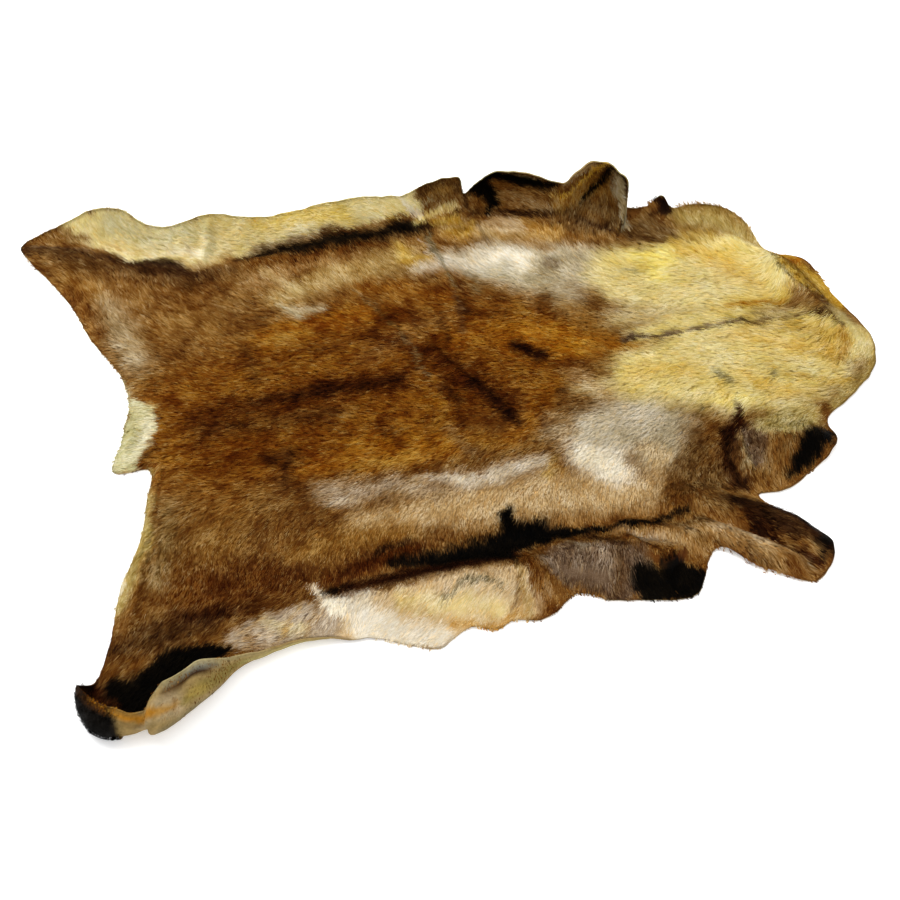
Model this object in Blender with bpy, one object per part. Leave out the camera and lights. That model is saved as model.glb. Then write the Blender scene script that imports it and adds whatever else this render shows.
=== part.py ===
"""A reindeer hide laid out on its flesh side, hair up, as one uneven sheet.

Metres, +Z up. +X runs along the spine from the rump to the neck and the origin is under the middle of the
hide's box. Sections fan out from a line on the spine to the rim. Each section lies flat, rises over the soft
folds it crosses and ends in an arc where the rim is turned up. The hair's depth is added above the skin.
"""

from collections import namedtuple

import bmesh
import bpy
import numpy as np

# Driving dimensions
SKIN = 0.002  # tanned skin
PILE_BACK = 0.012  # depth of the lying hair on the back and flanks
PILE_NECK = 0.017  # the longer hair from the withers to the neck
PILE_RIM = 0.003  # thin hair at the cut rim
PILE_THINNING = 0.075  # the hair thins over this width along the rim
NECK_START = 0.18  # along X, where the hair begins to lengthen
NECK_FULL = 0.40  # along X, where it is at its full length
LUMPS = 0.0012  # unevenness of the pile
HUB_GAP = 0.012  # the sections start this far from the spine, so that they never meet in a point

# Resolution
SECTIONS = 190
FIELD_RINGS = 7
BORDER_RINGS = 8
BORDER = 0.115  # width along the rim that takes the finer rings

# The rim, walked from the near hind leg round the rump, the far side, the neck and the near side.
# hub: X on the spine from which the section starts. x, y: where the rim lies in plan.
# radius, turn: the arc, in metres and degrees, by which the rim is turned up there.
Rim = namedtuple("Rim", "name hub x y radius turn")

RUMP = (
    Rim("near hoof end", -0.250, -0.622, -0.530, 0.030, 175),
    Rim("near hoof corner", -0.250, -0.654, -0.500, 0.026, 165),
    Rim("near hoof root", -0.250, -0.640, -0.460, 0.020, 60),
    Rim("near rump corner", -0.250, -0.614, -0.395, 0.000, 0),
    Rim("near rump", -0.250, -0.590, -0.305, 0.000, 0),
    Rim("near rump hollow", -0.250, -0.552, -0.222, 0.000, 0),
    Rim("near tail side", -0.250, -0.532, -0.145, 0.000, 0),
    Rim("tail root", -0.250, -0.524, -0.086, 0.000, 0),
    Rim("tail tip", -0.250, -0.574, -0.078, 0.000, 0),
    Rim("tail edge", -0.250, -0.559, -0.015, 0.000, 0),
    Rim("far tail side", -0.250, -0.537, 0.066, 0.000, 0),
    Rim("far rump hollow", -0.250, -0.546, 0.140, 0.000, 0),
    Rim("far rump", -0.250, -0.580, 0.222, 0.000, 0),
    Rim("far rump corner", -0.250, -0.610, 0.330, 0.000, 0),
    Rim("far hoof root", -0.250, -0.646, 0.415, 0.000, 0),
)
FAR_SIDE = (
    Rim("far hoof tip", -0.250, -0.688, 0.486, 0.030, 20),
    Rim("far shank", -0.240, -0.618, 0.514, 0.060, 50),
    Rim("far thigh peak", -0.220, -0.522, 0.505, 0.110, 66),
    Rim("far thigh dip", -0.205, -0.462, 0.458, 0.080, 60),
    Rim("far flank start", -0.180, -0.383, 0.450, 0.090, 60),
    Rim("far flank", -0.130, -0.253, 0.436, 0.110, 60),
    Rim("far belly", -0.080, -0.142, 0.436, 0.110, 62),
    Rim("far belly low", -0.010, 0.005, 0.412, 0.090, 62),
    Rim("far elbow", 0.030, 0.080, 0.410, 0.078, 92),
    Rim("far elbow notch", 0.050, 0.120, 0.394, 0.055, 70),
    Rim("far curl start", 0.065, 0.145, 0.376, 0.068, 105),
    Rim("far curl", 0.095, 0.200, 0.372, 0.072, 118),
    Rim("far curl end", 0.130, 0.266, 0.342, 0.062, 105),
    Rim("far shin inner", 0.150, 0.292, 0.336, 0.068, 100),
    Rim("far shin tip", 0.175, 0.338, 0.326, 0.098, 112),
    Rim("far shin outer", 0.192, 0.390, 0.282, 0.090, 104),
    Rim("far shin root", 0.225, 0.408, 0.288, 0.050, 55),
    Rim("far neck dip", 0.240, 0.432, 0.290, 0.050, 55),
    Rim("far neck flick", 0.260, 0.466, 0.292, 0.056, 76),
    Rim("far neck hollow", 0.280, 0.486, 0.274, 0.040, 45),
    Rim("far mane", 0.330, 0.548, 0.266, 0.052, 44),
    Rim("far mane end", 0.385, 0.600, 0.190, 0.040, 35),
)
NECK = (
    Rim("neck flap root", 0.410, 0.618, 0.152, 0.000, 0),
    Rim("neck flap corner", 0.420, 0.668, 0.122, 0.000, 0),
    Rim("neck cut", 0.420, 0.684, 0.002, 0.000, 0),
    Rim("neck corner", 0.420, 0.698, -0.100, 0.020, 25),
    Rim("neck point", 0.420, 0.682, -0.152, 0.020, 30),
    Rim("neck near side", 0.415, 0.598, -0.226, 0.020, 25),
)
NEAR_SIDE = (
    Rim("neck lobe root", 0.400, 0.540, -0.264, 0.020, 20),
    Rim("neck lobe", 0.375, 0.538, -0.300, 0.025, 35),
    Rim("neck lobe low", 0.300, 0.466, -0.356, 0.000, 0),
    Rim("neck lobe end", 0.220, 0.412, -0.380, 0.020, 20),
    Rim("leg notch", 0.125, 0.372, -0.378, 0.000, 0),
    Rim("near leg root", 0.020, 0.388, -0.419, 0.000, 0),
    Rim("near leg corner", -0.030, 0.438, -0.492, 0.012, 20),
    Rim("near leg end", -0.050, 0.392, -0.550, 0.000, 0),
    Rim("near leg low edge", -0.060, 0.326, -0.512, 0.000, 0),
    Rim("near leg pit", -0.070, 0.266, -0.460, 0.000, 0),
    Rim("cuff corner", -0.080, 0.226, -0.510, 0.000, 0),
    Rim("cuff", -0.085, 0.180, -0.532, 0.000, 0),
    Rim("cuff middle", -0.095, 0.092, -0.508, 0.000, 0),
    Rim("cuff dip", -0.100, 0.046, -0.482, 0.000, 0),
    Rim("near elbow", -0.110, -0.012, -0.506, 0.000, 0),
    Rim("near belly step", -0.120, -0.076, -0.506, 0.000, 0),
    Rim("near belly dip", -0.130, -0.122, -0.504, 0.000, 0),
    Rim("near belly", -0.140, -0.168, -0.518, 0.000, 0),
    Rim("near flank", -0.155, -0.240, -0.490, 0.000, 0),
    Rim("near flank end", -0.175, -0.320, -0.480, 0.022, 90),
    Rim("near thigh", -0.200, -0.412, -0.494, 0.038, 108),
    Rim("near shank", -0.212, -0.456, -0.498, 0.044, 120),
    Rim("near hock curl", -0.222, -0.496, -0.500, 0.034, 165),
    Rim("near hock", -0.230, -0.534, -0.510, 0.036, 172),
    Rim("near hock low", -0.238, -0.568, -0.536, 0.030, 168),
    Rim("near hoof start", -0.245, -0.594, -0.540, 0.024, 165),
)

# Soft folds on which the hide lifts off what it lies on: each is a path of rows with one name.
# height: rise of the skin. reach: distance from the path at which it is down again.
Fold = namedtuple("Fold", "name x y height reach")

FOLDS = (
    Fold("near belly roll", -0.335, -0.430, 0.010, 0.050),
    Fold("near belly roll", -0.240, -0.435, 0.030, 0.062),
    Fold("near belly roll", -0.110, -0.442, 0.038, 0.068),
    Fold("near belly roll", -0.015, -0.448, 0.034, 0.068),
    Fold("cuff roll", 0.050, -0.430, 0.028, 0.056),
    Fold("cuff roll", 0.130, -0.455, 0.040, 0.066),
    Fold("cuff roll", 0.180, -0.470, 0.032, 0.062),
    Fold("elbow pleat", 0.150, -0.398, 0.016, 0.034),
    Fold("elbow pleat", 0.235, -0.440, 0.018, 0.034),
    Fold("near leg upper fold", 0.280, -0.372, 0.012, 0.045),
    Fold("near leg upper fold", 0.385, -0.462, 0.024, 0.042),
    Fold("near leg upper fold", 0.420, -0.505, 0.016, 0.036),
    Fold("near leg lower fold", 0.262, -0.425, 0.014, 0.030),
    Fold("near leg lower fold", 0.365, -0.515, 0.018, 0.030),
    Fold("neck lobe", 0.435, -0.300, 0.022, 0.055),
    Fold("neck lobe", 0.500, -0.305, 0.020, 0.048),
    Fold("neck ridge", 0.560, 0.170, 0.014, 0.045),
    Fold("neck ridge", 0.605, 0.095, 0.026, 0.052),
    Fold("neck ridge", 0.628, -0.005, 0.024, 0.050),
    Fold("neck ridge", 0.650, -0.085, 0.010, 0.045),
    Fold("far hoof fold", -0.665, 0.478, 0.014, 0.035),
    Fold("far hoof fold", -0.600, 0.455, 0.012, 0.045),
    Fold("withers rise", 0.100, -0.060, 0.006, 0.120),
    Fold("withers rise", 0.250, 0.120, 0.008, 0.130),
)


def steady(low, high, value):
    """Rises smoothly from 0 at low to 1 at high."""
    share = np.clip((value - low) / (high - low), 0, 1)
    return share * share * (3 - 2 * share)


def rim_knots():
    """Distance along the rim of each row of the tables, and of the first row again at the end."""
    rows = RUMP + FAR_SIDE + NECK + NEAR_SIDE
    x, y, radius, turn = np.array([row[2:] for row in rows + rows[:1]]).T
    lift = radius * (1 - np.cos(np.radians(turn)))
    steps = np.sqrt(np.diff(x) ** 2 + np.diff(y) ** 2 + np.diff(lift) ** 2)
    return rows, np.concatenate([[0], np.cumsum(steps)])


def hub_x(where):
    """X on the spine from which the sections start that end at these distances along the rim."""
    rows, knots = rim_knots()
    return np.interp(where, knots, [row.hub for row in rows + rows[:1]])


def rim_curve(column, where):
    """One column of the rim tables as a smooth closed curve, read at these distances along the rim."""
    rows, knots = rim_knots()
    values = np.array([getattr(row, column) for row in rows])
    around = knots[-1]
    knots = np.concatenate([knots[-3:-1] - around, knots, knots[1:3] + around])
    values = np.concatenate([values[-2:], values, values[:3]])
    slopes = np.gradient(values, knots)
    left = np.searchsorted(knots, where, side="right") - 1
    step = knots[left + 1] - knots[left]
    share = (where - knots[left]) / step
    rise = values[left + 1] - values[left]
    start = share * (1 - share) ** 2 * step * slopes[left]
    end = share**2 * (share - 1) * step * slopes[left + 1]
    return values[left] + rise * share**2 * (3 - 2 * share) + start + end


def fold_height(x, y):
    """Rise of the skin over the soft folds at these places in plan."""
    height = np.zeros_like(x)
    for first, second in zip(FOLDS, FOLDS[1:] + FOLDS[-1:]):
        if second.name != first.name:
            second = first
        run_x = second.x - first.x
        run_y = second.y - first.y
        length = run_x * run_x + run_y * run_y
        along = np.zeros_like(x)
        if length:
            along = np.clip(((x - first.x) * run_x + (y - first.y) * run_y) / length, 0, 1)
        distance = np.hypot(x - first.x - along * run_x, y - first.y - along * run_y)
        top = first.height + along * (second.height - first.height)
        reach = first.reach + along * (second.reach - first.reach)
        bump = top * np.cos(np.pi / 2 * np.clip(distance / reach, 0, 1)) ** 2
        height = np.maximum(height, bump)
    return height


def skin_grid():
    """The skin's under face as rings of sections, and each point's distance from the rim along the skin."""
    around = rim_knots()[1][-1]
    where = (around * np.arange(SECTIONS) / SECTIONS)[:, None]
    hub = np.stack([hub_x(where), np.zeros_like(where)], axis=-1)
    edge = np.stack([rim_curve("x", where), rim_curve("y", where)], axis=-1)
    length = np.linalg.norm(edge - hub, axis=-1)
    heading = (edge - hub) / length[..., None]
    radius = np.maximum(rim_curve("radius", where), 1e-6)
    turn = np.radians(np.maximum(rim_curve("turn", where), 0))
    flat = length - radius * np.sin(turn)
    total = flat + radius * turn
    border = total - np.maximum(radius * turn, BORDER)
    field_share = np.linspace(0, 1, FIELD_RINGS + 1)[None, :-1]
    border_share = np.linspace(0, 1, BORDER_RINGS + 1)[None, :]
    field = HUB_GAP + (border - HUB_GAP) * field_share
    travelled = np.concatenate([field, border + (total - border) * border_share], axis=1)
    angle = np.maximum(travelled - flat, 0) / radius
    reach = np.minimum(travelled, flat) + radius * np.sin(angle)
    plan = hub + heading * reach[..., None]
    lift = radius * (1 - np.cos(angle)) + fold_height(plan[..., 0], plan[..., 1])
    return np.concatenate([plan, lift[..., None]], axis=-1), total - travelled


def pile_depth(x, y, from_rim):
    """Depth of the lying hair: longer at the neck, thinner at the rim, a little uneven."""
    depth = PILE_BACK + (PILE_NECK - PILE_BACK) * steady(NECK_START, NECK_FULL, x)
    lumps = LUMPS * (np.sin(31 * x + 4 * y) * np.cos(27 * y) + 0.6 * np.sin(53 * y - 19 * x))
    return PILE_RIM + (depth + lumps - PILE_RIM) * steady(0, PILE_THINNING, from_rim)


def leather_and_hair():
    """The hide's one material: brown hair over tanned skin."""
    material = bpy.data.materials.new("fur")
    material.use_nodes = True
    shader = material.node_tree.nodes["Principled BSDF"]
    shader.inputs["Base Color"].default_value = (0.150, 0.062, 0.014, 1)
    shader.inputs["Roughness"].default_value = 0.75
    shader.inputs["Metallic"].default_value = 0
    return material


def build_hide():
    """The skin as rings of faces round the spine, thickened upwards by the pile."""
    points, from_rim = skin_grid()
    depth = SKIN + pile_depth(points[..., 0], points[..., 1], from_rim)
    sections, rings = depth.shape
    most = depth.max()
    shape = bmesh.new()
    weight = shape.verts.layers.deform.verify()
    grid = [[shape.verts.new(point) for point in section] for section in points]
    for section, section_depth in zip(grid, depth):
        for vertex, local in zip(section, section_depth):
            vertex[weight][0] = local / most
    for here in range(sections):
        after = (here + 1) % sections
        for ring in range(rings - 1):
            corners = (grid[here][ring], grid[here][ring + 1], grid[after][ring + 1], grid[after][ring])
            shape.faces.new(corners)
    seam = [shape.edges.get((grid[here][0], grid[(here + 1) % sections][0])) for here in range(sections)]
    bmesh.ops.triangle_fill(shape, use_beauty=True, edges=seam)
    bmesh.ops.recalc_face_normals(shape, faces=shape.faces)
    if sum(face.normal.z for face in shape.faces) < 0:
        bmesh.ops.reverse_faces(shape, faces=shape.faces)
    low = points.reshape(-1, 3).min(axis=0)
    high = points.reshape(-1, 3).max(axis=0)
    bmesh.ops.translate(shape, verts=shape.verts, vec=(-(low[0] + high[0]) / 2, -(low[1] + high[1]) / 2, 0))
    mesh = bpy.data.meshes.new("hide")
    shape.to_mesh(mesh)
    shape.free()
    mesh.shade_smooth()
    hide = bpy.data.objects.new("hide", mesh)
    bpy.context.scene.collection.objects.link(hide)
    hide.vertex_groups.new(name="pile")
    mesh.materials.append(leather_and_hair())
    solid = hide.modifiers.new("Pile", "SOLIDIFY")
    solid.thickness = most
    solid.offset = 1
    solid.vertex_group = "pile"
    solid.use_rim = True
    return hide


def main():
    for old in list(bpy.data.objects):
        bpy.data.objects.remove(old)
    build_hide()


main()
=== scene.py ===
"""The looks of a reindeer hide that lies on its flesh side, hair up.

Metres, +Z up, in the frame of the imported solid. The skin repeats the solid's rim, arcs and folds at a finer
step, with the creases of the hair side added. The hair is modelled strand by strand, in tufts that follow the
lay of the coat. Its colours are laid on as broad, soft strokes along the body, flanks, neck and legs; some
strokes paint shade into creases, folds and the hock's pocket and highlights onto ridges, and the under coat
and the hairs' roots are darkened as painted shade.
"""

from __future__ import annotations

import logging
import math
from dataclasses import dataclass, field
from enum import Enum
from typing import NamedTuple

import bpy
import numpy as np
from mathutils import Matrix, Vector
from mathutils.geometry import delaunay_2d_cdt


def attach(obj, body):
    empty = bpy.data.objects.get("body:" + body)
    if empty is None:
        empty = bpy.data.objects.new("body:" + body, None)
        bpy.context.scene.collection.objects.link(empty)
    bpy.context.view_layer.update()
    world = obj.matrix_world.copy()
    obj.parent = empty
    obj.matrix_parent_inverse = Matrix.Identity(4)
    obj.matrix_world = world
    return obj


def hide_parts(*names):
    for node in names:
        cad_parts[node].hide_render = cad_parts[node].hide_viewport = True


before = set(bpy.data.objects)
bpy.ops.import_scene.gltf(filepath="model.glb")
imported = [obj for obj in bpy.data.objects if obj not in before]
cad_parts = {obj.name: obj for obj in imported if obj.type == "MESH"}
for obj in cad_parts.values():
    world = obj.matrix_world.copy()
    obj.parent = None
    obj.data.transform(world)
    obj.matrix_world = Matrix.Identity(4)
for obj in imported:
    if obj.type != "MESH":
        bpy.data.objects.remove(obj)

Material = bpy.types.Material
Node = bpy.types.Node
Piece = bpy.types.Object
Socket = bpy.types.NodeSocket
Tree = bpy.types.NodeTree

logging.basicConfig(level=logging.INFO, format="%(message)s")
log = logging.getLogger("hide")

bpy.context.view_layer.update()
BODY = "root"
NODE = "hide"
TABLE_MIDDLE = (0.0061, -0.0194)  # the middle of the hide's box in the coordinates of the rows below

MILLE = 1000  # the tables hold thousandths: millimetres, and shares of the pile
TINY = 1e-12  # what a length is at least where it divides
MIN_RADIUS = 1e-6
HUMP_REACH = 0.03  # the distance from the rim over which the skin's humps grow
INSIDE_ONLY = 1  # the triangulation keeps the faces inside the outline
SAME_PLACE = 1e-7
WHITE = (1, 1, 1, 1)


# ---------------------------------------------------------------- rim and folds, as in the solid

# The rim, row by row: the X on the spine from which the section to this point starts, the point's X and Y,
# and the radius and the turn of the arc by which the skin is turned up there. In millimetres and degrees.
RUMP = (
    # near hoof
    (-250, -628, -530, 30, 175), (-250, -658, -488, 30, 135), (-250, -640, -460, 20, 60),
    # near rump
    (-250, -614, -395, 0, 0), (-250, -590, -305, 0, 0), (-250, -552, -222, 0, 0), (-250, -532, -145, 0, 0),
    # tail
    (-250, -524, -86, 0, 0), (-250, -574, -78, 0, 0), (-250, -559, -15, 0, 0),
    # far rump
    (-250, -537, 66, 0, 0), (-250, -546, 140, 0, 0), (-250, -580, 222, 0, 0), (-250, -610, 330, 0, 0),
    (-250, -646, 415, 0, 0),
)
FAR_SIDE = (
    # hind leg and thigh
    (-250, -682, 501, 55, 35), (-240, -606, 520, 84, 50), (-229, -561, 527, 96, 58),
    (-220, -523, 512, 110, 64), (-212, -490, 497, 109, 62), (-203, -454, 467, 89, 58),
    # flank
    (-191, -416, 456, 85, 58), (-180, -383, 457, 88, 60), (-167, -350, 458, 94, 62),
    (-156, -322, 452, 100, 60), (-137, -270, 434, 96, 60), (-108, -202, 424, 100, 60),
    # belly
    (-84, -150, 425, 107, 61), (-60, -99, 425, 113, 62), (-34, -45, 420, 113, 62), (-10, 5, 417, 106, 62),
    # elbow
    (3, 29, 421, 93, 68), (18, 56, 422, 82, 80), (29, 78, 419, 75, 90), (46, 112, 412, 73, 92),
    (50, 118, 400, 61, 75),
    # the foreleg's curl
    (65, 144, 399, 60, 100), (83, 179, 395, 64, 112), (98, 205, 386, 65, 116), (115, 238, 371, 65, 112),
    (133, 272, 356, 63, 104),
    # shin
    (148, 289, 343, 62, 108), (162, 315, 341, 73, 118), (175, 337, 338, 81, 123), (184, 360, 323, 80, 124),
    (195, 388, 286, 74, 120), (236, 401, 304, 70, 55),
    # neck
    (254, 441, 304, 67, 50), (268, 467, 299, 63, 78), (284, 487, 291, 75, 45),
    # mane
    (305, 518, 282, 98, 46), (335, 559, 273, 93, 44), (375, 597, 240, 85, 40), (390, 610, 202, 66, 32),
)
NECK = (
    # the cut end of the neck
    (410, 618, 152, 0, 0), (420, 668, 122, 0, 0), (420, 684, 2, 0, 0), (420, 698, -100, 20, 25),
    (420, 682, -152, 20, 30), (415, 598, -226, 20, 25),
)
NEAR_SIDE = (
    # lobe of the neck
    (400, 540, -264, 20, 20), (375, 538, -300, 25, 35), (300, 466, -356, 0, 0), (220, 412, -380, 20, 20),
    (125, 372, -378, 0, 0),
    # foreleg
    (20, 388, -419, 0, 0), (-30, 438, -492, 12, 20), (-50, 392, -550, 0, 0), (-60, 326, -512, 0, 0),
    (-70, 266, -460, 0, 0),
    # cuff
    (-75, 243, -486, 0, 0), (-79, 228, -509, 0, 0), (-82, 210, -528, 0, 0), (-86, 182, -530, 0, 0),
    (-89, 146, -521, 0, 0), (-94, 104, -511, 0, 0), (-97, 82, -504, 0, 0), (-99, 66, -490, 0, 0),
    (-102, 45, -481, 0, 0),
    # elbow
    (-105, 22, -492, 0, 0), (-108, 4, -507, 0, 0), (-112, -18, -511, 0, 0),
    # belly
    (-118, -60, -504, 0, 0), (-122, -85, -513, 0, 0), (-128, -119, -499, 0, 0), (-132, -144, -510, 0, 0),
    (-138, -169, -522, 0, 0), (-144, -198, -511, 0, 0),
    # flank and thigh
    (-156, -248, -485, 0, 0), (-174, -314, -476, 16, 70), (-185, -357, -471, 19, 90),
    (-195, -393, -476, 20, 98), (-202, -421, -483, 22, 108),
    # shank and hock
    (-209, -448, -490, 27, 125), (-216, -475, -507, 38, 150), (-223, -500, -516, 44, 170),
    (-230, -526, -530, 46, 172), (-236, -547, -541, 46, 170), (-240, -560, -546, 41, 166),
    (-245, -579, -554, 32, 134),
)

# Paths along which the skin lifts off the floor. A point has its x, y, height and reach, in millimetres.
FOLDS = (
    (  # near belly roll
        (-335, -430, 10, 50), (-240, -435, 30, 62), (-110, -442, 38, 68), (-15, -448, 34, 68),
    ),
    ((50, -430, 28, 56), (130, -455, 40, 66), (180, -470, 32, 62)),  # cuff roll
    ((150, -398, 16, 34), (235, -440, 18, 34)),  # elbow pleat
    ((280, -372, 12, 45), (385, -462, 24, 42), (420, -505, 16, 36)),  # near leg upper fold
    ((262, -425, 14, 30), (365, -515, 18, 30)),  # near leg lower fold
    ((435, -300, 22, 55), (500, -305, 20, 48)),  # neck lobe
    ((560, 170, 14, 45), (605, 95, 26, 52), (628, -5, 24, 50), (650, -85, 10, 45)),  # neck ridge
    ((-665, 478, 14, 35), (-600, 455, 12, 45)),  # far hoof fold
    ((100, -60, 6, 120), (250, 120, 8, 130)),  # withers rise
)

# Finer ridges of the skin than the solid holds.
WRINKLES = (
    ((-50, 110, 3, 12), (-20, 20, 5, 14), (20, -60, 5, 14), (60, -130, 2, 12)),  # back wrinkle
    ((5, 345, 4, 12), (26, 310, 6, 12), (36, 250, 5, 12), (50, 190, 3, 12)),  # shoulder wrinkle
    ((125, 360, 5, 12), (132, 300, 3, 10)),  # elbow wrinkle
    ((-352, 440, 6, 16), (-360, 410, 7, 16), (-375, 380, 4, 14)),  # far strip fold
    ((-405, 430, 5, 14), (-385, 385, 4, 12)),  # far strip second fold
    ((-300, 425, 4, 14), (-285, 390, 3, 12)),  # far strip third fold
    ((420, -60, 3, 14), (530, -90, 3, 14), (600, -150, 3, 14)),  # neck wrinkle
    ((138, -405, 6, 12), (145, -452, 8, 12), (178, -482, 8, 12), (212, -455, 7, 12)),  # pleat edge
    ((20, -430, 5, 12), (50, -455, 6, 12), (90, -475, 5, 12)),  # cuff pleat
    ((396, -245, 4, 8), (382, -280, 6, 9), (376, -335, 5, 9)),  # notch edge
    ((590, 135, 3, 8), (596, 100, 5, 9), (600, 50, 5, 9), (618, 0, 4, 9), (640, -55, 3, 9)),  # neck edge
)

# Dents of the near hock's curl: x is the place in plan, y the distance from the rim.
DENTS = (
    ((-560, 12, 2, 10), (-532, 17, 8, 14), (-503, 14, 7, 13), (-475, 10, 2, 10)),  # hock pocket
    ((-575, 50, 3, 16), (-550, 46, 4, 14)),  # hock hollow
)

# Paths along which the hair parts and sinks: x, y, depth in thousandths of the pile, reach in millimetres.
CREASES = (
    (  # far crease
        (-650, 501, 300, 14), (-549, 437, 400, 16), (-397, 367, 500, 18), (-296, 377, 600, 18),
        (-102, 384, 800, 20), (101, 396, 600, 16),
    ),
    ((147, 370, 500, 14), (286, 325, 600, 14), (370, 275, 500, 14)),  # far shoulder crease
    ((-600, -540, 700, 30), (-560, -540, 800, 36), (-500, -522, 700, 30)),  # near hock curl
    (  # near flank crease
        (-310, -375, 400, 18), (-129, -372, 800, 22), (59, -362, 800, 20), (220, -375, 700, 16),
    ),
    ((262, -385, 600, 12), (345, -470, 700, 12), (395, -535, 500, 10)),  # near leg crease
    ((418, -196, 600, 12), (400, -232, 900, 14), (362, -290, 800, 14), (360, -355, 800, 14)),  # neck notch
    ((150, -472, 600, 9), (180, -498, 700, 9), (224, -470, 600, 9)),  # pleat crease
)

# Soft unevenness, in layers: the amount, the size of the patches and the seed of each.
RIM_NIBBLES = ((0.0016, 0.024, 51), (0.0010, 0.011, 52))
ARC_SWELLS = ((0.05, 0.040, 53), (0.03, 0.016, 54))
SKIN_HUMPS = ((0.0012, 0.045, 3), (0.0008, 0.02, 4))
PILE_LUMPS = ((0.0010, 0.03, 11), (0.0008, 0.012, 12))
SWIRLS = ((0.24, 0.14, 21), (0.24, 0.05, 22), (0.15, 0.018, 23))
WANDERS_X = ((0.006, 0.030, 31), (0.005, 0.011, 33), (0.003, 0.005, 35))
WANDERS_Y = ((0.004, 0.025, 32), (0.004, 0.010, 34), (0.003, 0.005, 36))
BLOTCHES = ((0.18, 0.009, 41), (0.24, 0.020, 42), (0.22, 0.05, 43))


def steady(low: float, high: float, value: np.ndarray) -> np.ndarray:
    """Rises smoothly from 0 at low to 1 at high."""
    share = np.clip((value - low) / (high - low), 0, 1)
    return share * share * (3 - 2 * share)


def unit(vectors: np.ndarray) -> np.ndarray:
    """The vectors at length 1."""
    return vectors / np.maximum(np.linalg.norm(vectors, axis=-1, keepdims=True), TINY)


def lattice(ix: np.ndarray, iy: np.ndarray, seed: int) -> np.ndarray:
    """A fixed number from 0 to 1 for each whole-number place."""
    mixed = (ix * 374761393 + iy * 668265263 + seed * 974634777) & 0x7FFFFFFF
    mixed = ((mixed ^ (mixed >> 13)) * 1274126177) & 0x7FFFFFFF
    return ((mixed ^ (mixed >> 16)) & 0xFFFF) / 65535.0


def cloud(x: np.ndarray, y: np.ndarray, size: float, seed: int) -> np.ndarray:
    """Soft unevenness from -1 to 1 whose patches are about size across."""
    u, v = x / size, y / size
    ix, iy = np.floor(u).astype(np.int64), np.floor(v).astype(np.int64)
    fx, fy = u - ix, v - iy
    fx, fy = fx * fx * (3 - 2 * fx), fy * fy * (3 - 2 * fy)
    low = lattice(ix, iy, seed) * (1 - fx) + lattice(ix + 1, iy, seed) * fx
    high = lattice(ix, iy + 1, seed) * (1 - fx) + lattice(ix + 1, iy + 1, seed) * fx
    return 2 * (low * (1 - fy) + high * fy) - 1


def clouded(x: np.ndarray, y: np.ndarray, layers: tuple, start: float | np.ndarray = 0.0) -> np.ndarray:
    """The start with these layers of soft unevenness added to it."""
    return sum((amount * cloud(x, y, size, seed) for amount, size, seed in layers), start)


def crosses(points: np.ndarray, triangles: np.ndarray) -> np.ndarray:
    """The cross product of two edges of each triangle: out of its face, and twice its area long."""
    corners = points[triangles]
    return np.cross(corners[:, 1] - corners[:, 0], corners[:, 2] - corners[:, 0])


def along_paths(paths: tuple, x: np.ndarray, y: np.ndarray) -> np.ndarray:
    """The highest of the soft bumps along the paths.

    Args:
        paths: for each path its points, each with x, y, height and reach in thousandths.
        x: places in plan.
        y: places in plan.

    Returns:
        The height at each place.
    """
    most = np.zeros_like(x)
    for path in paths:
        points = [[value / MILLE for value in point] for point in path]
        for first, second in zip(points, points[1:] + points[-1:]):
            (x_1, y_1, top_1, reach_1), (x_2, y_2, top_2, reach_2) = first, second
            wide = max(reach_1, reach_2)
            near = (x > min(x_1, x_2) - wide) & (x < max(x_1, x_2) + wide)
            near &= (y > min(y_1, y_2) - wide) & (y < max(y_1, y_2) + wide)
            place_x, place_y = x[near] - x_1, y[near] - y_1
            run_x, run_y = x_2 - x_1, y_2 - y_1
            length = max(run_x * run_x + run_y * run_y, TINY)
            along = np.clip((place_x * run_x + place_y * run_y) / length, 0, 1)
            distance = np.hypot(place_x - along * run_x, place_y - along * run_y)
            top = top_1 + along * (top_2 - top_1)
            reach = reach_1 + along * (reach_2 - reach_1)
            bump = top * np.cos(np.pi / 2 * np.clip(distance / reach, 0, 1)) ** 2
            most[near] = np.maximum(most[near], bump)
    return most


# ---------------------------------------------------------------- colours of the coat


class Shade(Enum):
    """The hair's and the skin's colours, as red, green and blue from 0 to 255."""

    SOOT = (8, 5, 2)
    BARK = (40, 14, 2)
    COFFEE = (44, 23, 8)
    UMBER = (74, 47, 20)
    MUD = (106, 76, 38)
    RUMP = (122, 82, 34)
    CHESTNUT = (74, 32, 3)
    RUSSET = (118, 67, 12)
    ORANGE = (144, 86, 16)
    AMBER = (166, 108, 20)
    APRICOT = (232, 194, 84)
    OCHRE = (182, 140, 68)
    TAWNY = (160, 124, 74)
    DUST = (146, 122, 76)
    SAND = (172, 144, 88)
    BEIGE = (196, 186, 160)
    ROSE = (182, 165, 142)
    PEACH = (210, 188, 150)
    MOUSE = (110, 88, 68)
    ASH = (112, 104, 78)
    FROST = (226, 220, 206)
    IVORY = (244, 240, 226)
    CREAM = (238, 228, 172)
    STRAW = (230, 217, 150)
    LEMON = (252, 244, 158)
    GOLD = (226, 202, 102)
    HIDE = (204, 200, 162)
    LICHEN = (178, 174, 114)
    SIENNA = (94, 52, 11)
    FAWN = (204, 178, 132)
    HONEY = (198, 164, 68)
    CHALK = (198, 190, 162)
    LINEN = (224, 212, 158)
    WHEAT = (182, 164, 102)
    OLIVE = (128, 110, 54)
    SLATE = (134, 146, 144)

    @property
    def screen(self) -> np.ndarray:
        """Red, green and blue from 0 to 1, as a screen shows them."""
        return np.array(self.value) / 255


class Stroke(NamedTuple):
    """One soft stroke of colour, in millimetres."""

    shade: Shade
    soft: float  # the width over which its edge fades
    cover: float  # per cent
    path: list  # x, y and the half width at each point


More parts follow.
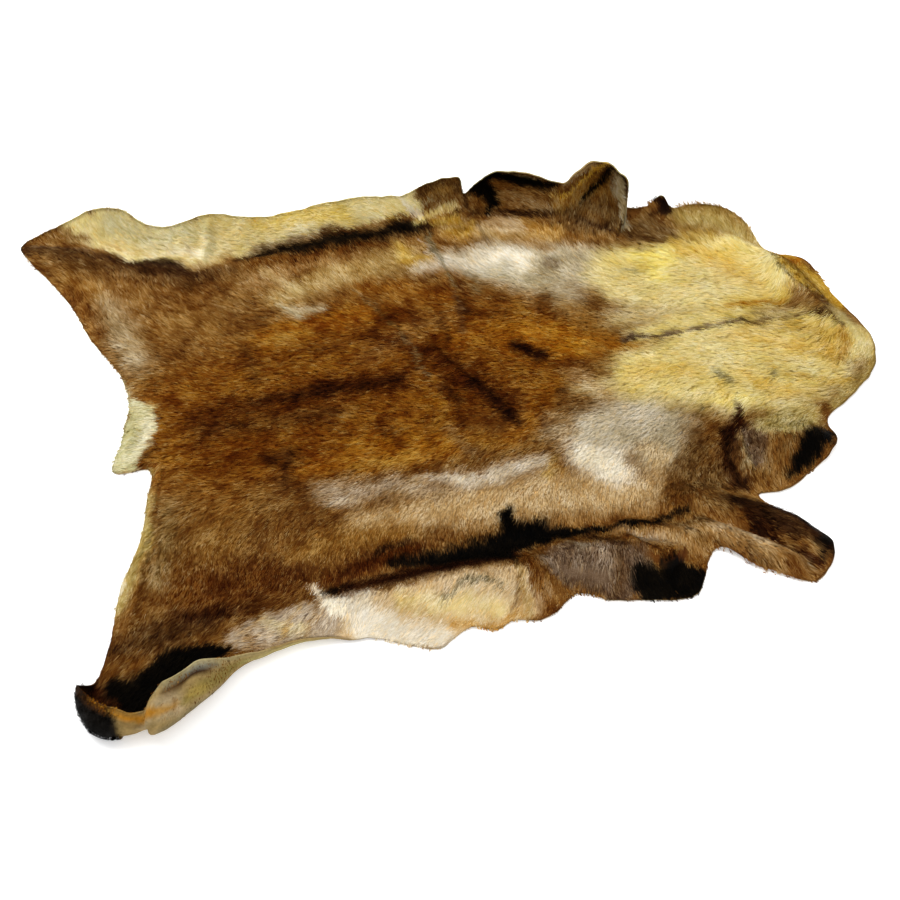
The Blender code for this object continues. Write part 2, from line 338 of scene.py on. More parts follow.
def strokes(*rows: tuple) -> list[Stroke]:
    """The strokes of these rows: a shade, the edge's softness, the cover, and then the points of the path."""
    return [Stroke(shade, soft, cover, path) for shade, soft, cover, *path in rows]


COAT = strokes(
    # rump and hind legs
    (Shade.RUMP, 120, 100, (-520, -330, 160), (-500, 0, 120), (-520, 360, 160)),
    (Shade.OCHRE, 80, 30, (-500, 200, 20), (-400, 240, 30), (-360, 140, 30)),
    (Shade.OCHRE, 50, 45, (-620, 400, 10), (-570, 340, 18)),
    (Shade.CHALK, 50, 60, (-552, 325, 10), (-534, 240, 28), (-512, 155, 24)),
    (Shade.UMBER, 60, 85, (-620, 450, 10), (-500, 390, 25), (-400, 350, 30), (-330, 340, 12)),
    (Shade.COFFEE, 30, 70, (-480, 385, 8), (-420, 370, 12), (-380, 345, 6)),
    (Shade.DUST, 35, 70, (-500, -160, 8), (-515, -240, 18), (-535, -310, 14)),
    (Shade.OCHRE, 80, 40, (-460, -80, 30), (-420, -180, 50), (-450, -270, 30)),
    (Shade.CHESTNUT, 60, 70, (-480, -340, 40), (-360, -350, 30)),
    (Shade.UMBER, 40, 90, (-615, -410, 12), (-550, -405, 25), (-480, -395, 15)),
    (Shade.BARK, 32, 80, (-520, -378, 5), (-465, -386, 12), (-420, -392, 5)),
    # saddle
    (Shade.RUSSET, 100, 100, (-400, -20, 150), (-120, 20, 190), (100, 30, 120)),
    (Shade.ORANGE, 40, 90, (-310, 145, 22), (-220, 165, 22), (-130, 170, 22)),
    (Shade.HONEY, 40, 50, (-285, 145, 6), (-225, 150, 8)),
    (Shade.ORANGE, 50, 70, (-110, 235, 15), (-50, 225, 15), (20, 180, 20)),
    (Shade.ORANGE, 50, 85, (20, 70, 20), (100, 65, 30), (170, 30, 30)),
    (Shade.ORANGE, 40, 90, (120, 30, 45), (200, 0, 35), (250, -15, 22)),
    (Shade.AMBER, 30, 90, (180, -5, 22), (250, -15, 18), (325, -32, 6)),
    (Shade.ORANGE, 50, 90, (-310, -150, 12), (-200, -155, 25), (-60, -165, 28)),
    (Shade.HONEY, 35, 45, (-210, -165, 6), (-120, -170, 12)),
    (Shade.ORANGE, 40, 80, (30, -175, 18), (75, -150, 18), (110, -90, 20)),
    (Shade.AMBER, 35, 70, (100, -115, 12), (145, -80, 12)),
    (Shade.AMBER, 30, 60, (-100, -50, 6), (-55, -70, 10)),
    (Shade.TAWNY, 60, 40, (-145, 60, 12), (-60, 110, 20), (10, 125, 10)),
    (Shade.AMBER, 45, 55, (-210, -118, 8), (-110, -140, 14), (0, -170, 12)),
    (Shade.AMBER, 40, 60, (90, 66, 10), (170, 45, 14), (245, 14, 14)),
    (Shade.UMBER, 50, 60, (-440, -30, 12), (-324, -39, 16), (-205, -46, 10)),
    (Shade.CHESTNUT, 50, 80, (-460, 0, 12), (-330, 0, 18), (-200, 10, 26), (-100, 0, 18)),
    (Shade.BARK, 34, 85, (-347, 12, 3), (-267, 6, 8), (-218, 3, 9), (-105, -4, 5)),
    (Shade.CHESTNUT, 35, 70, (-440, 15, 8), (-380, 20, 10)),
    (Shade.CHESTNUT, 35, 70, (-450, -65, 6), (-410, -30, 10)),
    (Shade.CHESTNUT, 46, 80, (-95, 100, 8), (-50, 60, 18), (0, -20, 30), (50, -100, 20)),
    (Shade.CHESTNUT, 18, 90, (-21, 50, 4), (2, -10, 8), (20, -50, 8)),
    (Shade.BARK, 18, 98, (4, -21, 5), (31, -76, 12), (48, -120, 9), (58, -148, 4)),
    (Shade.CHESTNUT, 12, 70, (-82, -92, 2), (-87, -158, 3)),
    (Shade.BARK, 14, 90, (-36, -32, 5), (-19, -76, 5)),
    (Shade.CHESTNUT, 14, 80, (-77, 60, 2), (-68, 23, 4), (-43, -40, 5), (-30, -85, 5), (-26, -130, 3)),
    (Shade.CHESTNUT, 34, 65, (106, -104, 9), (100, -155, 10)),
    (Shade.MOUSE, 26, 45, (-55, -134, 9), (-25, -186, 9)),
    (Shade.UMBER, 34, 50, (-334, 140, 8), (-332, 60, 9)),
    (Shade.MOUSE, 12, 60, (43, 186, 3), (33, 83, 4)),
    (Shade.BARK, 14, 60, (5, 143, 2), (2, 66, 4)),
    (Shade.AMBER, 9, 70, (-285, 178, 2), (-181, 176, 3), (-140, 205, 1)),
    (Shade.CHESTNUT, 30, 70, (-150, -100, 8), (-130, -140, 6)),
    (Shade.CHESTNUT, 30, 60, (-250, -50, 8), (-220, -90, 8)),
    (Shade.BARK, 35, 85, (-330, -120, 12), (-300, -115, 12), (-325, -175, 8)),
    (Shade.CHESTNUT, 30, 80, (-320, 150, 6), (-315, 100, 10)),
    (Shade.CHESTNUT, 30, 70, (-240, 110, 6), (-200, 100, 10), (-130, 110, 10)),
    (Shade.CHESTNUT, 26, 75, (-115, 128, 6), (-115, 85, 9)),
    (Shade.OCHRE, 30, 50, (-82, 132, 8), (-50, 116, 9)),
    (Shade.CHESTNUT, 30, 80, (-45, 160, 5), (-35, 120, 10)),
    (Shade.BARK, 18, 85, (40, 165, 3), (48, 130, 6)),
    (Shade.CHESTNUT, 20, 70, (60, 225, 4), (65, 175, 7)),
    (Shade.CHESTNUT, 20, 70, (60, 125, 4), (120, 105, 6)),
    (Shade.BARK, 24, 98, (112, 24, 10), (122, -2, 13), (144, -16, 11)),
    (Shade.BARK, 10, 80, (145, -98, 3), (150, -102, 3)),
    (Shade.ASH, 9, 70, (-98, 197, 1), (-66, 72, 2), (-52, -6, 2)),
    # far flank
    (Shade.SAND, 50, 95, (-245, 245, 30), (-160, 285, 35), (-20, 295, 40)),
    (Shade.TAWNY, 40, 70, (-290, 300, 20), (-200, 320, 12), (-100, 325, 10)),
    (Shade.SIENNA, 25, 80, (-280, 345, 8), (-180, 348, 12), (-50, 345, 6)),
    (Shade.CREAM, 30, 45, (-270, 330, 4), (-225, 260, 8)),
    (Shade.CHALK, 25, 90, (-255, 225, 4), (-235, 200, 11), (-190, 208, 6)),
    (Shade.ASH, 8, 70, (-125, 240, 1), (-110, 200, 2), (-95, 170, 1)),
    (Shade.BEIGE, 55, 90, (60, 270, 20), (140, 245, 58), (230, 205, 60), (290, 175, 40)),
    (Shade.HONEY, 22, 80, (-25, 335, 6), (-15, 290, 16), (15, 285, 10)),
    (Shade.SAND, 30, 90, (66, 352, 12), (117, 345, 18), (162, 320, 16)),
    (Shade.HONEY, 20, 70, (75, 345, 6), (100, 330, 12)),
    (Shade.OCHRE, 34, 75, (170, 318, 12), (217, 304, 20), (262, 288, 16)),
    (Shade.OCHRE, 22, 70, (60, 340, 6), (90, 318, 10), (125, 322, 8)),
    (Shade.PEACH, 26, 90, (148, 332, 9), (180, 326, 13), (203, 314, 8)),
    (Shade.TAWNY, 26, 60, (193, 290, 8), (246, 248, 10)),
    (Shade.FROST, 40, 78, (-5, 256, 10), (60, 262, 22), (115, 250, 38), (165, 245, 30)),
    (Shade.CHALK, 50, 65, (140, 215, 34), (180, 170, 30), (215, 125, 20)),
    (Shade.IVORY, 35, 78, (135, 255, 10), (165, 262, 16), (190, 238, 20), (175, 212, 14)),
    (Shade.BEIGE, 50, 75, (220, 210, 20), (255, 160, 34), (225, 95, 22)),
    (Shade.BEIGE, 40, 80, (262, 240, 16), (315, 205, 26), (292, 150, 16)),
    (Shade.TAWNY, 20, 70, (165, 140, 6), (165, 100, 8)),
    (Shade.ASH, 16, 60, (85, 235, 3), (88, 175, 3)),
    (Shade.MOUSE, 18, 60, (225, 225, 3), (230, 205, 6)),
    (Shade.MUD, 24, 90, (262, 318, 8), (320, 292, 20), (385, 262, 15)),
    # painted highlight on the shoulder wrinkle's crest, and painted shade beside it
    (Shade.IVORY, 6, 80, (12, 340, 2), (26, 320, 2), (34, 260, 2)),
    (Shade.ASH, 10, 85, (35, 352, 6), (38, 300, 5), (38, 260, 2), (48, 190, 2)),
    # painted shade along the elbow wrinkle and along the far shoulder's crease
    (Shade.MUD, 8, 80, (118, 385, 2), (134, 345, 3), (132, 300, 1)),
    (Shade.COFFEE, 16, 85, (130, 380, 3), (220, 354, 3), (300, 325, 6), (370, 266, 8)),
    # near flank
    (Shade.FAWN, 50, 95, (-240, -275, 15), (-100, -285, 35), (80, -300, 45), (200, -330, 30)),
    (Shade.OCHRE, 50, 65, (-340, -315, 12), (-250, -300, 20), (-170, -315, 12)),
    (Shade.OCHRE, 30, 70, (-160, -235, 8), (-125, -225, 12)),
    (Shade.TAWNY, 30, 60, (-160, -335, 6), (-50, -335, 6)),
    (Shade.HONEY, 20, 50, (70, -265, 6), (90, -230, 6)),
    (Shade.ROSE, 45, 85, (-275, -205, 14), (-230, -215, 22), (-160, -222, 18), (-100, -248, 10)),
    (Shade.FROST, 25, 70, (-262, -225, 6), (-235, -235, 10)),
    (Shade.FROST, 26, 82, (-124, -215, 4), (-85, -224, 8), (-60, -236, 15), (-20, -242, 16), (20, -236, 17),
        (74, -234, 13)),
    (Shade.RUSSET, 10, 50, (-40, -222, 2), (-30, -232, 3)),
    (Shade.OCHRE, 12, 60, (84, -236, 4), (96, -262, 6)),
    (Shade.IVORY, 12, 80, (-75, -222, 3), (-60, -232, 4)),
    # near shoulder
    (Shade.BEIGE, 60, 95, (130, -180, 30), (180, -200, 55), (250, -190, 60), (290, -200, 40),
        (250, -260, 40)),
    (Shade.CREAM, 40, 60, (180, -100, 12), (240, -110, 30)),
    (Shade.FROST, 50, 88, (128, -205, 16), (160, -245, 42), (168, -280, 28)),
    (Shade.IVORY, 40, 85, (132, -238, 20), (160, -268, 28), (185, -288, 20)),
    (Shade.FROST, 45, 50, (165, -180, 24), (225, -172, 30), (270, -185, 20)),
    (Shade.TAWNY, 35, 70, (112, -140, 12), (135, -172, 12), (112, -195, 8)),
    (Shade.FAWN, 35, 75, (235, -245, 10), (252, -270, 18), (235, -305, 16)),
    (Shade.MUD, 40, 90, (310, -275, 16), (270, -340, 20), (310, -335, 30)),
    (Shade.BARK, 30, 85, (372, -258, 8), (348, -300, 13), (350, -345, 15)),
    # neck
    (Shade.OCHRE, 50, 55, (220, 80, 20), (260, 20, 22), (230, -50, 15)),
    (Shade.FAWN, 44, 60, (185, -62, 12), (222, -130, 14)),
    (Shade.STRAW, 50, 100, (358, 140, 82), (440, 120, 95), (530, 100, 105)),
    (Shade.STRAW, 50, 100, (290, -90, 55), (420, -110, 110), (560, -110, 100), (630, -100, 60)),
    (Shade.STRAW, 30, 100, (312, -4, 16), (400, 2, 26), (500, 0, 24)),
    (Shade.STRAW, 40, 90, (460, -200, 30), (500, -240, 30)),
    (Shade.CREAM, 50, 70, (300, 40, 22), (380, 40, 35), (470, 60, 30), (560, 110, 20)),
    (Shade.LEMON, 40, 80, (385, 190, 14), (430, 172, 24), (400, 130, 18)),
    (Shade.CREAM, 50, 60, (300, -60, 20), (380, -50, 18), (440, -70, 20)),
    (Shade.CREAM, 50, 60, (280, -140, 20), (340, -170, 20)),
    (Shade.LEMON, 30, 70, (390, -185, 10), (425, -190, 10)),
    (Shade.GOLD, 30, 70, (462, 208, 8), (480, 178, 16), (530, 140, 12)),
    (Shade.GOLD, 30, 80, (460, 22, 6), (530, 28, 16), (585, 20, 12)),
    (Shade.HONEY, 18, 85, (475, 20, 3), (530, 20, 8), (590, 8, 6)),
    (Shade.AMBER, 12, 85, (490, 24, 2), (545, 20, 5), (585, 10, 3)),
    (Shade.HONEY, 34, 70, (505, -30, 8), (580, -46, 14), (640, -95, 14)),
    (Shade.HONEY, 22, 70, (612, -85, 3), (618, -130, 7), (600, -165, 6)),
    (Shade.HONEY, 24, 80, (575, -190, 8), (615, -195, 12)),
    (Shade.HONEY, 12, 80, (500, -130, 1), (520, -160, 3), (570, -180, 3)),
    (Shade.APRICOT, 60, 45, (468, 199, 12), (520, 136, 18), (556, 63, 14)),
    (Shade.APRICOT, 60, 52, (471, -47, 8), (551, -94, 16), (617, -129, 16)),
    (Shade.APRICOT, 50, 48, (450, -141, 6), (502, -195, 10), (544, -207, 10)),
    (Shade.APRICOT, 60, 32, (285, -89, 10), (368, -102, 12)),
    (Shade.AMBER, 18, 50, (649, -82, 4), (627, -147, 6)),
    (Shade.CREAM, 12, 75, (492, -90, 2), (505, -115, 5), (516, -151, 3)),
    (Shade.GOLD, 16, 75, (407, -146, 4), (400, -187, 7)),
    (Shade.WHEAT, 14, 85, (530, -228, 8), (534, -262, 7), (526, -285, 5)),
    (Shade.LINEN, 30, 70, (470, -215, 8), (560, -215, 14)),
    (Shade.MOUSE, 10, 90, (285, -12, 4), (310, -1, 5), (350, -16, 5), (420, -18, 4), (500, -18, 3)),
    (Shade.COFFEE, 8, 70, (283, -14, 2), (310, -3, 2), (345, -15, 2)),
    (Shade.UMBER, 10, 90, (500, -18, 2), (525, -28, 5), (575, -30, 2), (620, -36, 4), (645, -58, 6),
        (652, -80, 2)),
    (Shade.ASH, 14, 65, (405, -115, 4), (415, -135, 6), (428, -152, 2)),
    (Shade.ASH, 8, 60, (497, -143, 2), (498, -156, 3)),
    (Shade.ASH, 7, 70, (350, -186, 2), (352, -195, 2)),
    (Shade.ASH, 12, 60, (348, 158, 3), (362, 150, 3)),
    (Shade.WHEAT, 46, 90, (500, 270, 22), (555, 246, 28), (592, 205, 22), (612, 180, 10)),
    (Shade.GOLD, 30, 50, (480, 225, 14), (530, 210, 16)),
    (Shade.MUD, 16, 95, (402, 250, 20), (436, 243, 34), (464, 232, 17)),
    (Shade.COFFEE, 10, 90, (448, 286, 7), (474, 288, 8)),
    (Shade.HONEY, 14, 100, (638, 125, 28), (648, 40, 38), (672, -15, 20)),
    (Shade.AMBER, 24, 85, (620, 128, 8), (655, 112, 14)),
    (Shade.LINEN, 22, 85, (668, -45, 18), (680, -100, 22), (678, -140, 12)),
    (Shade.WHEAT, 16, 85, (686, -140, 8), (662, -180, 14), (612, -212, 13), (566, -238, 10)),
    (Shade.MUD, 20, 30, (672, -155, 3), (640, -178, 8), (620, -200, 6)),
    # painted highlight on the neck ridge's crest, and painted shade beside it
    (Shade.CREAM, 6, 70, (597, 132, 2), (594, 88, 2), (605, 35, 3), (624, -5, 2)),
    (Shade.ASH, 6, 50, (606, 120, 1), (604, 85, 2), (614, 40, 2)),
    (Shade.WHEAT, 20, 100, (435, -262, 26), (480, -268, 34), (515, -260, 20)),
    (Shade.CREAM, 20, 50, (450, -285, 6), (475, -255, 10)),
    (Shade.SOOT, 14, 100, (440, -352, 8), (464, -332, 16), (496, -308, 20), (522, -298, 13)),
    (Shade.MUD, 14, 80, (430, -318, 4), (500, -286, 3), (520, -292, 6), (533, -265, 6)),
    (Shade.TAWNY, 18, 75, (402, -315, 7), (410, -352, 10), (426, -376, 6)),
    (Shade.MOUSE, 14, 95, (402, -252, 12), (396, -285, 17), (388, -315, 14)),
    # painted shade in the neck notch's crease
    (Shade.UMBER, 16, 80, (408, -245, 5), (400, -290, 4), (405, -330, 4)),
    (Shade.BARK, 10, 100, (413, -200, 3), (405, -222, 10), (388, -242, 13), (374, -258, 10)),
    (Shade.COFFEE, 20, 85, (375, -250, 6), (358, -300, 8), (355, -355, 12)),
    (Shade.DUST, 7, 85, (395, -240, 1), (382, -275, 3), (376, -330, 3)),
    (Shade.RUMP, 14, 90, (385, -355, 10), (408, -350, 12)),
    # far side
    (Shade.LINEN, 12, 100, (-585, 512, 24), (-520, 485, 32), (-470, 438, 34), (-400, 416, 44),
        (-340, 418, 42), (-150, 422, 36), (0, 412, 22), (30, 405, 10)),
    (Shade.HIDE, 20, 60, (-520, 500, 10), (-470, 455, 8), (-360, 440, 8)),
    (Shade.IVORY, 20, 60, (-450, 420, 6), (-370, 400, 10), (-360, 430, 6)),
    (Shade.SAND, 16, 70, (-410, 385, 8), (-385, 368, 8), (-330, 385, 10)),
    (Shade.GOLD, 20, 65, (-270, 425, 4), (-180, 420, 10), (-100, 405, 8)),
    (Shade.HONEY, 12, 60, (-30, 395, 4), (-15, 385, 5)),
    (Shade.OCHRE, 8, 50, (-550, 475, 1), (-500, 445, 2), (-460, 425, 1)),
    # painted shade along the far strip's folds
    (Shade.LICHEN, 8, 60, (-352, 440, 1), (-356, 410, 3), (-368, 385, 2)),
    (Shade.DUST, 8, 50, (-400, 425, 1), (-385, 390, 2)),
    # the dark line along the far crease: dark hair, and painted shade of the fold
    (Shade.COFFEE, 16, 90, (-660, 482, 2), (-600, 462, 4), (-550, 445, 7), (-500, 412, 9), (-440, 392, 8),
        (-410, 372, 6)),
    (Shade.SOOT, 24, 92, (-310, 368, 2), (-250, 372, 9), (-140, 370, 12), (-70, 366, 11), (0, 370, 12),
        (30, 368, 8)),
    (Shade.CHESTNUT, 14, 60, (-280, 385, 3), (-180, 388, 4), (-100, 385, 2)),
    (Shade.COFFEE, 10, 90, (30, 366, 5), (75, 378, 3), (115, 388, 2)),
    (Shade.FROST, 10, 80, (5, 405, 4), (30, 388, 6)),
    (Shade.UMBER, 20, 90, (-690, 488, 20), (-640, 468, 12), (-600, 452, 8)),
    (Shade.MOUSE, 10, 70, (-655, 485, 2), (-600, 472, 3), (-560, 458, 1)),
    (Shade.RUMP, 16, 85, (-650, 503, 6), (-600, 505, 8), (-565, 490, 5)),
    # near side
    (Shade.PEACH, 14, 100, (-310, -470, 35), (-200, -475, 45), (-100, -475, 42), (-40, -475, 36)),
    (Shade.FAWN, 22, 45, (-220, -420, 8), (-142, -422, 13), (-60, -434, 12)),
    (Shade.FROST, 22, 90, (-305, -425, 12), (-250, -432, 14)),
    (Shade.SOOT, 14, 90, (-302, -391, 6), (-274, -398, 8)),
    (Shade.FROST, 22, 88, (-316, -385, 4), (-308, -405, 9), (-292, -435, 16), (-257, -466, 22),
        (-207, -494, 20), (-165, -508, 18)),
    (Shade.STRAW, 20, 60, (-209, -450, 7), (-155, -465, 9), (-113, -476, 8), (-74, -486, 6)),
    (Shade.ASH, 7, 85, (-148, -459, 2), (-130, -455, 3), (-114, -451, 4), (-86, -455, 3), (-67, -467, 2)),
    (Shade.OCHRE, 12, 85, (-142, -492, 4), (-112, -500, 6), (-81, -508, 6), (-54, -499, 5), (-33, -505, 5)),
    (Shade.MUD, 8, 60, (-62, -492, 1), (-43, -472, 3), (-38, -456, 2)),
    # the black along the near flank's crease: the coat's own dark stripe, deepened by painted shade of the
    # crease
    (Shade.BARK, 28, 95, (-275, -398, 14), (-200, -402, 18), (-120, -402, 18), (-30, -405, 14)),
    (Shade.MOUSE, 12, 70, (-290, -412, 3), (-255, -418, 3)),
    (Shade.CHESTNUT, 28, 90, (-300, -368, 6), (-220, -352, 14), (-160, -350, 10)),
    (Shade.SOOT, 18, 100, (-200, -362, 4), (-140, -374, 16), (-60, -378, 22), (20, -366, 26), (55, -376, 12)),
    (Shade.SOOT, 12, 100, (-60, -395, 12), (-33, -410, 8), (-34, -430, 3)),
    (Shade.SOOT, 10, 90, (0, -380, 12), (3, -400, 3)),
    (Shade.SOOT, 10, 100, (45, -376, 12), (120, -384, 6), (155, -396, 6), (200, -394, 6), (250, -382, 3)),
    (Shade.SOOT, 8, 100, (0, -310, 4), (-18, -322, 10), (-12, -345, 16)),
    (Shade.COFFEE, 12, 95, (-220, -342, 4), (-165, -333, 3)),
    (Shade.SAND, 10, 80, (-34, -440, 5), (-30, -470, 6), (-30, -503, 6)),
    (Shade.SIENNA, 12, 95, (-12, -415, 5), (-12, -450, 6), (-12, -485, 7), (0, -505, 8)),
    (Shade.MOUSE, 20, 100, (35, -435, 28), (80, -458, 36), (118, -480, 34), (96, -512, 16)),
    (Shade.ROSE, 18, 35, (15, -430, 6), (45, -452, 6), (85, -475, 6)),
    (Shade.BEIGE, 16, 60, (55, -405, 4), (70, -430, 6)),
    (Shade.COFFEE, 14, 60, (72, -488, 5), (102, -507, 5)),
    (Shade.COFFEE, 18, 80, (90, -395, 8), (105, -425, 8), (120, -445, 6)),
    (Shade.UMBER, 20, 75, (106, -455, 8), (112, -480, 8), (96, -500, 6)),
    (Shade.TAWNY, 12, 100, (140, -410, 10), (165, -435, 22), (200, -435, 24), (245, -418, 12)),
    (Shade.ROSE, 16, 80, (142, -405, 4), (155, -435, 10), (185, -430, 10)),
    # painted shadow under the pleat
    (Shade.SIENNA, 8, 80, (150, -458, 3), (175, -478, 6), (205, -472, 6), (215, -450, 3)),
    (Shade.COFFEE, 5, 70, (205, -430, 1), (235, -428, 2), (240, -405, 1)),
    (Shade.MUD, 14, 80, (225, -405, 5), (260, -410, 10), (262, -435, 8)),
    (Shade.SOOT, 10, 100, (142, -496, 20), (152, -512, 22), (200, -506, 31), (226, -504, 17)),
    (Shade.TAWNY, 12, 80, (232, -455, 6), (248, -462, 6)),
    (Shade.COFFEE, 20, 100, (318, -392, 16), (350, -418, 24), (390, -452, 31), (430, -490, 28)),
    (Shade.UMBER, 20, 70, (360, -425, 6), (385, -455, 8), (395, -480, 6)),
    (Shade.MUD, 25, 60, (268, -385, 8), (300, -395, 12)),
    (Shade.TAWNY, 12, 100, (275, -432, 16), (320, -475, 22), (375, -535, 22)),
    (Shade.PEACH, 18, 80, (275, -428, 6), (305, -455, 12), (335, -490, 8)),
    (Shade.SIENNA, 20, 80, (360, -525, 10), (385, -540, 10)),
    (Shade.BARK, 10, 100, (325, -425, 3), (350, -465, 5), (365, -495, 5), (405, -528, 5)),
    (Shade.SOOT, 14, 90, (405, -500, 6), (430, -490, 8), (405, -520, 4)),
    (Shade.UMBER, 5, 90, (262, -447, 1), (295, -478, 2), (315, -500, 2), (345, -525, 1)),
    # near hind leg and rump rim
    (Shade.ROSE, 14, 100, (-444, -435, 16), (-405, -442, 34), (-350, -442, 36), (-330, -448, 30)),
    (Shade.CREAM, 18, 50, (-400, -415, 4), (-375, -440, 8), (-345, -450, 8)),
    (Shade.TAWNY, 12, 70, (-440, -420, 2), (-420, -445, 3)),
    (Shade.TAWNY, 8, 75, (-400, -408, 2), (-426, -447, 3)),
    (Shade.OCHRE, 8, 60, (-346, -410, 2), (-382, -459, 3)),
    (Shade.TAWNY, 7, 60, (-321, -405, 2), (-341, -461, 3)),
    (Shade.TAWNY, 16, 60, (-430, -458, 4), (-390, -462, 5)),
    (Shade.DUST, 14, 60, (-375, -455, 4), (-345, -468, 6)),
    (Shade.IVORY, 10, 95, (-322, -380, 3), (-316, -410, 7), (-300, -440, 12)),
    # the near hock's black: dark hair, and painted shade under the curled flap
    (Shade.SOOT, 14, 100, (-602, -480, 24), (-580, -500, 36), (-530, -462, 32), (-480, -456, 20)),
    (Shade.BARK, 20, 95, (-645, -470, 14), (-640, -520, 30), (-612, -548, 14)),
    (Shade.WHEAT, 18, 90, (-528, -90, 6), (-538, -170, 10), (-552, -230, 16), (-580, -290, 18),
        (-605, -350, 10)),
    (Shade.IVORY, 8, 75, (-534, -90, 2), (-549, -175, 4), (-567, -238, 6), (-594, -298, 7), (-614, -345, 4)),
    (Shade.HIDE, 10, 85, (-545, 120, 3), (-535, 85, 8)),
    (Shade.HIDE, 8, 100, (-532, 65, 10), (-522, 30, 24), (-535, -15, 32), (-562, -60, 22)),
    (Shade.IVORY, 16, 50, (-515, 20, 6), (-518, -20, 8), (-535, -45, 4)),
    (Shade.STRAW, 12, 60, (-510, 55, 3), (-495, 40, 4)),
    (Shade.LICHEN, 16, 40, (-555, 0, 2), (-565, -50, 6)),
    (Shade.COFFEE, 8, 80, (-498, -45, 2), (-530, -70, 3)),
)

# The strokes on the far side's turned-up walls: x in plan, then the distance from the rim.
FAR_WALL = strokes(
    (Shade.MUD, 14, 90, (34, 12, 8), (75, 18, 22), (112, 22, 10)),
    (Shade.OCHRE, 12, 60, (52, 22, 4), (92, 24, 8)),
    (Shade.STRAW, 12, 80, (20, 62, 6), (60, 60, 8), (100, 56, 7)),
    (Shade.HIDE, 6, 70, (34, 36, 3), (58, 33, 3)),
    (Shade.COFFEE, 6, 90, (117, 0, 3), (119, 14, 3), (120, 30, 2)),
    (Shade.HONEY, 16, 80, (50, 82, 6), (80, 88, 10), (118, 84, 9)),
    # the curl's black: dark hair, and painted shade under its overhang
    (Shade.SOOT, 10, 100, (134, 0, 11), (150, 20, 13), (164, 43, 12), (171, 70, 11), (158, 80, 8)),
    (Shade.SOOT, 10, 100, (160, 4, 9), (219, 20, 11), (254, 15, 10), (274, 6, 7)),
    # painted highlight along the curl's crest
    (Shade.ASH, 6, 80, (197, 0, 2), (229, 7, 3), (252, 1, 2)),
    (Shade.TAWNY, 12, 95, (192, 56, 10), (224, 60, 13), (240, 60, 12), (258, 54, 9)),
    (Shade.TAWNY, 12, 80, (200, 76, 6), (235, 74, 6)),
    # painted shade: the dark line under the curl where it meets the skin
    (Shade.COFFEE, 6, 85, (180, 88, 3), (217, 92, 4), (247, 75, 4), (286, 56, 3)),
    (Shade.PEACH, 16, 80, (132, 108, 9), (170, 112, 13), (205, 114, 13)),
    (Shade.OCHRE, 14, 80, (220, 110, 10), (268, 104, 10)),
    (Shade.OCHRE, 14, 75, (286, 50, 16), (330, 60, 26), (352, 60, 22)),
    (Shade.FAWN, 10, 90, (296, 0, 8), (319, 2, 11), (340, 8, 9), (346, 20, 6)),
    (Shade.APRICOT, 7, 100, (276, 30, 3), (312, 36, 4), (339, 34, 5), (356, 16, 4), (362, 0, 4)),
    (Shade.OCHRE, 8, 70, (284, 44, 2), (312, 40, 3), (338, 44, 3)),
    (Shade.SOOT, 8, 100, (322, 84, 5), (340, 74, 6), (358, 56, 6), (368, 34, 5), (371, 4, 3)),
    (Shade.CHALK, 8, 85, (384, 56, 9), (388, 34, 10), (384, 12, 8)),
    (Shade.COFFEE, 5, 90, (380, 0, 3), (389, 5, 3), (397, 14, 3)),
    (Shade.FAWN, 10, 60, (394, 52, 4), (390, 62, 4)),
    (Shade.MUD, 20, 90, (286, 74, 8), (312, 96, 12), (350, 112, 14), (392, 92, 13)),
    (Shade.COFFEE, 8, 95, (450, 2, 6), (466, 8, 9), (480, 4, 5)),
)

BASE = Shade.RUMP
FAR_START = 0.26  # the walls lie beyond this Y


def painted(layers: list[Stroke], ground: Shade | np.ndarray, x: np.ndarray, y: np.ndarray) -> np.ndarray:
    """The colour that the strokes give at each place, laid one over another.

    Args:
        layers: the strokes, the lowest first.
        ground: the colour under them, one for all or one for each place.
        x: places in plan.
        y: places in plan.

    Returns:
        Red, green and blue from 0 to 1 as a screen shows them, one row for each place.
    """
    ground = ground.screen if isinstance(ground, Shade) else ground
    colour = np.zeros((len(x), 3)) + ground
    x, y = MILLE * x, MILLE * y
    for stroke in layers:
        wide = max(width for _, _, width in stroke.path) + stroke.soft / 2
        path_x, path_y, _ = zip(*stroke.path)
        near = (x > min(path_x) - wide) & (x < max(path_x) + wide)
        near &= (y > min(path_y) - wide) & (y < max(path_y) + wide)
        place_x, place_y = x[near], y[near]
        nearest = np.full(len(place_x), np.inf)
        for first, second in zip(stroke.path, stroke.path[1:]):
            run_x, run_y = second[0] - first[0], second[1] - first[1]
            along = (place_x - first[0]) * run_x + (place_y - first[1]) * run_y
            along = np.clip(along / (run_x * run_x + run_y * run_y), 0, 1)
            width = first[2] + along * (second[2] - first[2])
            aside_x, aside_y = place_x - first[0] - along * run_x, place_y - first[1] - along * run_y
            nearest = np.minimum(nearest, np.hypot(aside_x, aside_y) - width)
        cover = stroke.cover / 100 * (1 - steady(-stroke.soft / 2, stroke.soft / 2, nearest))
        colour[near] += cover[:, None] * (stroke.shade.screen - colour[near])
    return colour


def wandered(x: np.ndarray, y: np.ndarray) -> tuple[np.ndarray, np.ndarray]:
    """The places moved a little here and there, so that the strokes' edges are uneven, as the coat's are."""
    return clouded(x, y, WANDERS_X, x), clouded(x, y, WANDERS_Y, y)


def coat_colour(x: np.ndarray, y: np.ndarray, wall_x: np.ndarray, from_rim: np.ndarray) -> np.ndarray:
    """The hair side's colour as a screen shows it: by the place in plan, and on the far walls by the place
    along the rim and the distance from it.
    """
    colour = painted(COAT, BASE, x, y)
    far = y > FAR_START
    colour[far] = painted(FAR_WALL, colour[far], wall_x[far], from_rim[far])
    return colour


def linear(colour: np.ndarray) -> np.ndarray:
    """Screen colours as the light that a material sends back."""
    colour = np.clip(colour, 0, 1)
    return np.where(colour <= 0.04045, colour / 12.92, ((colour + 0.055) / 1.055) ** 2.4)


# ---------------------------------------------------------------- the skin


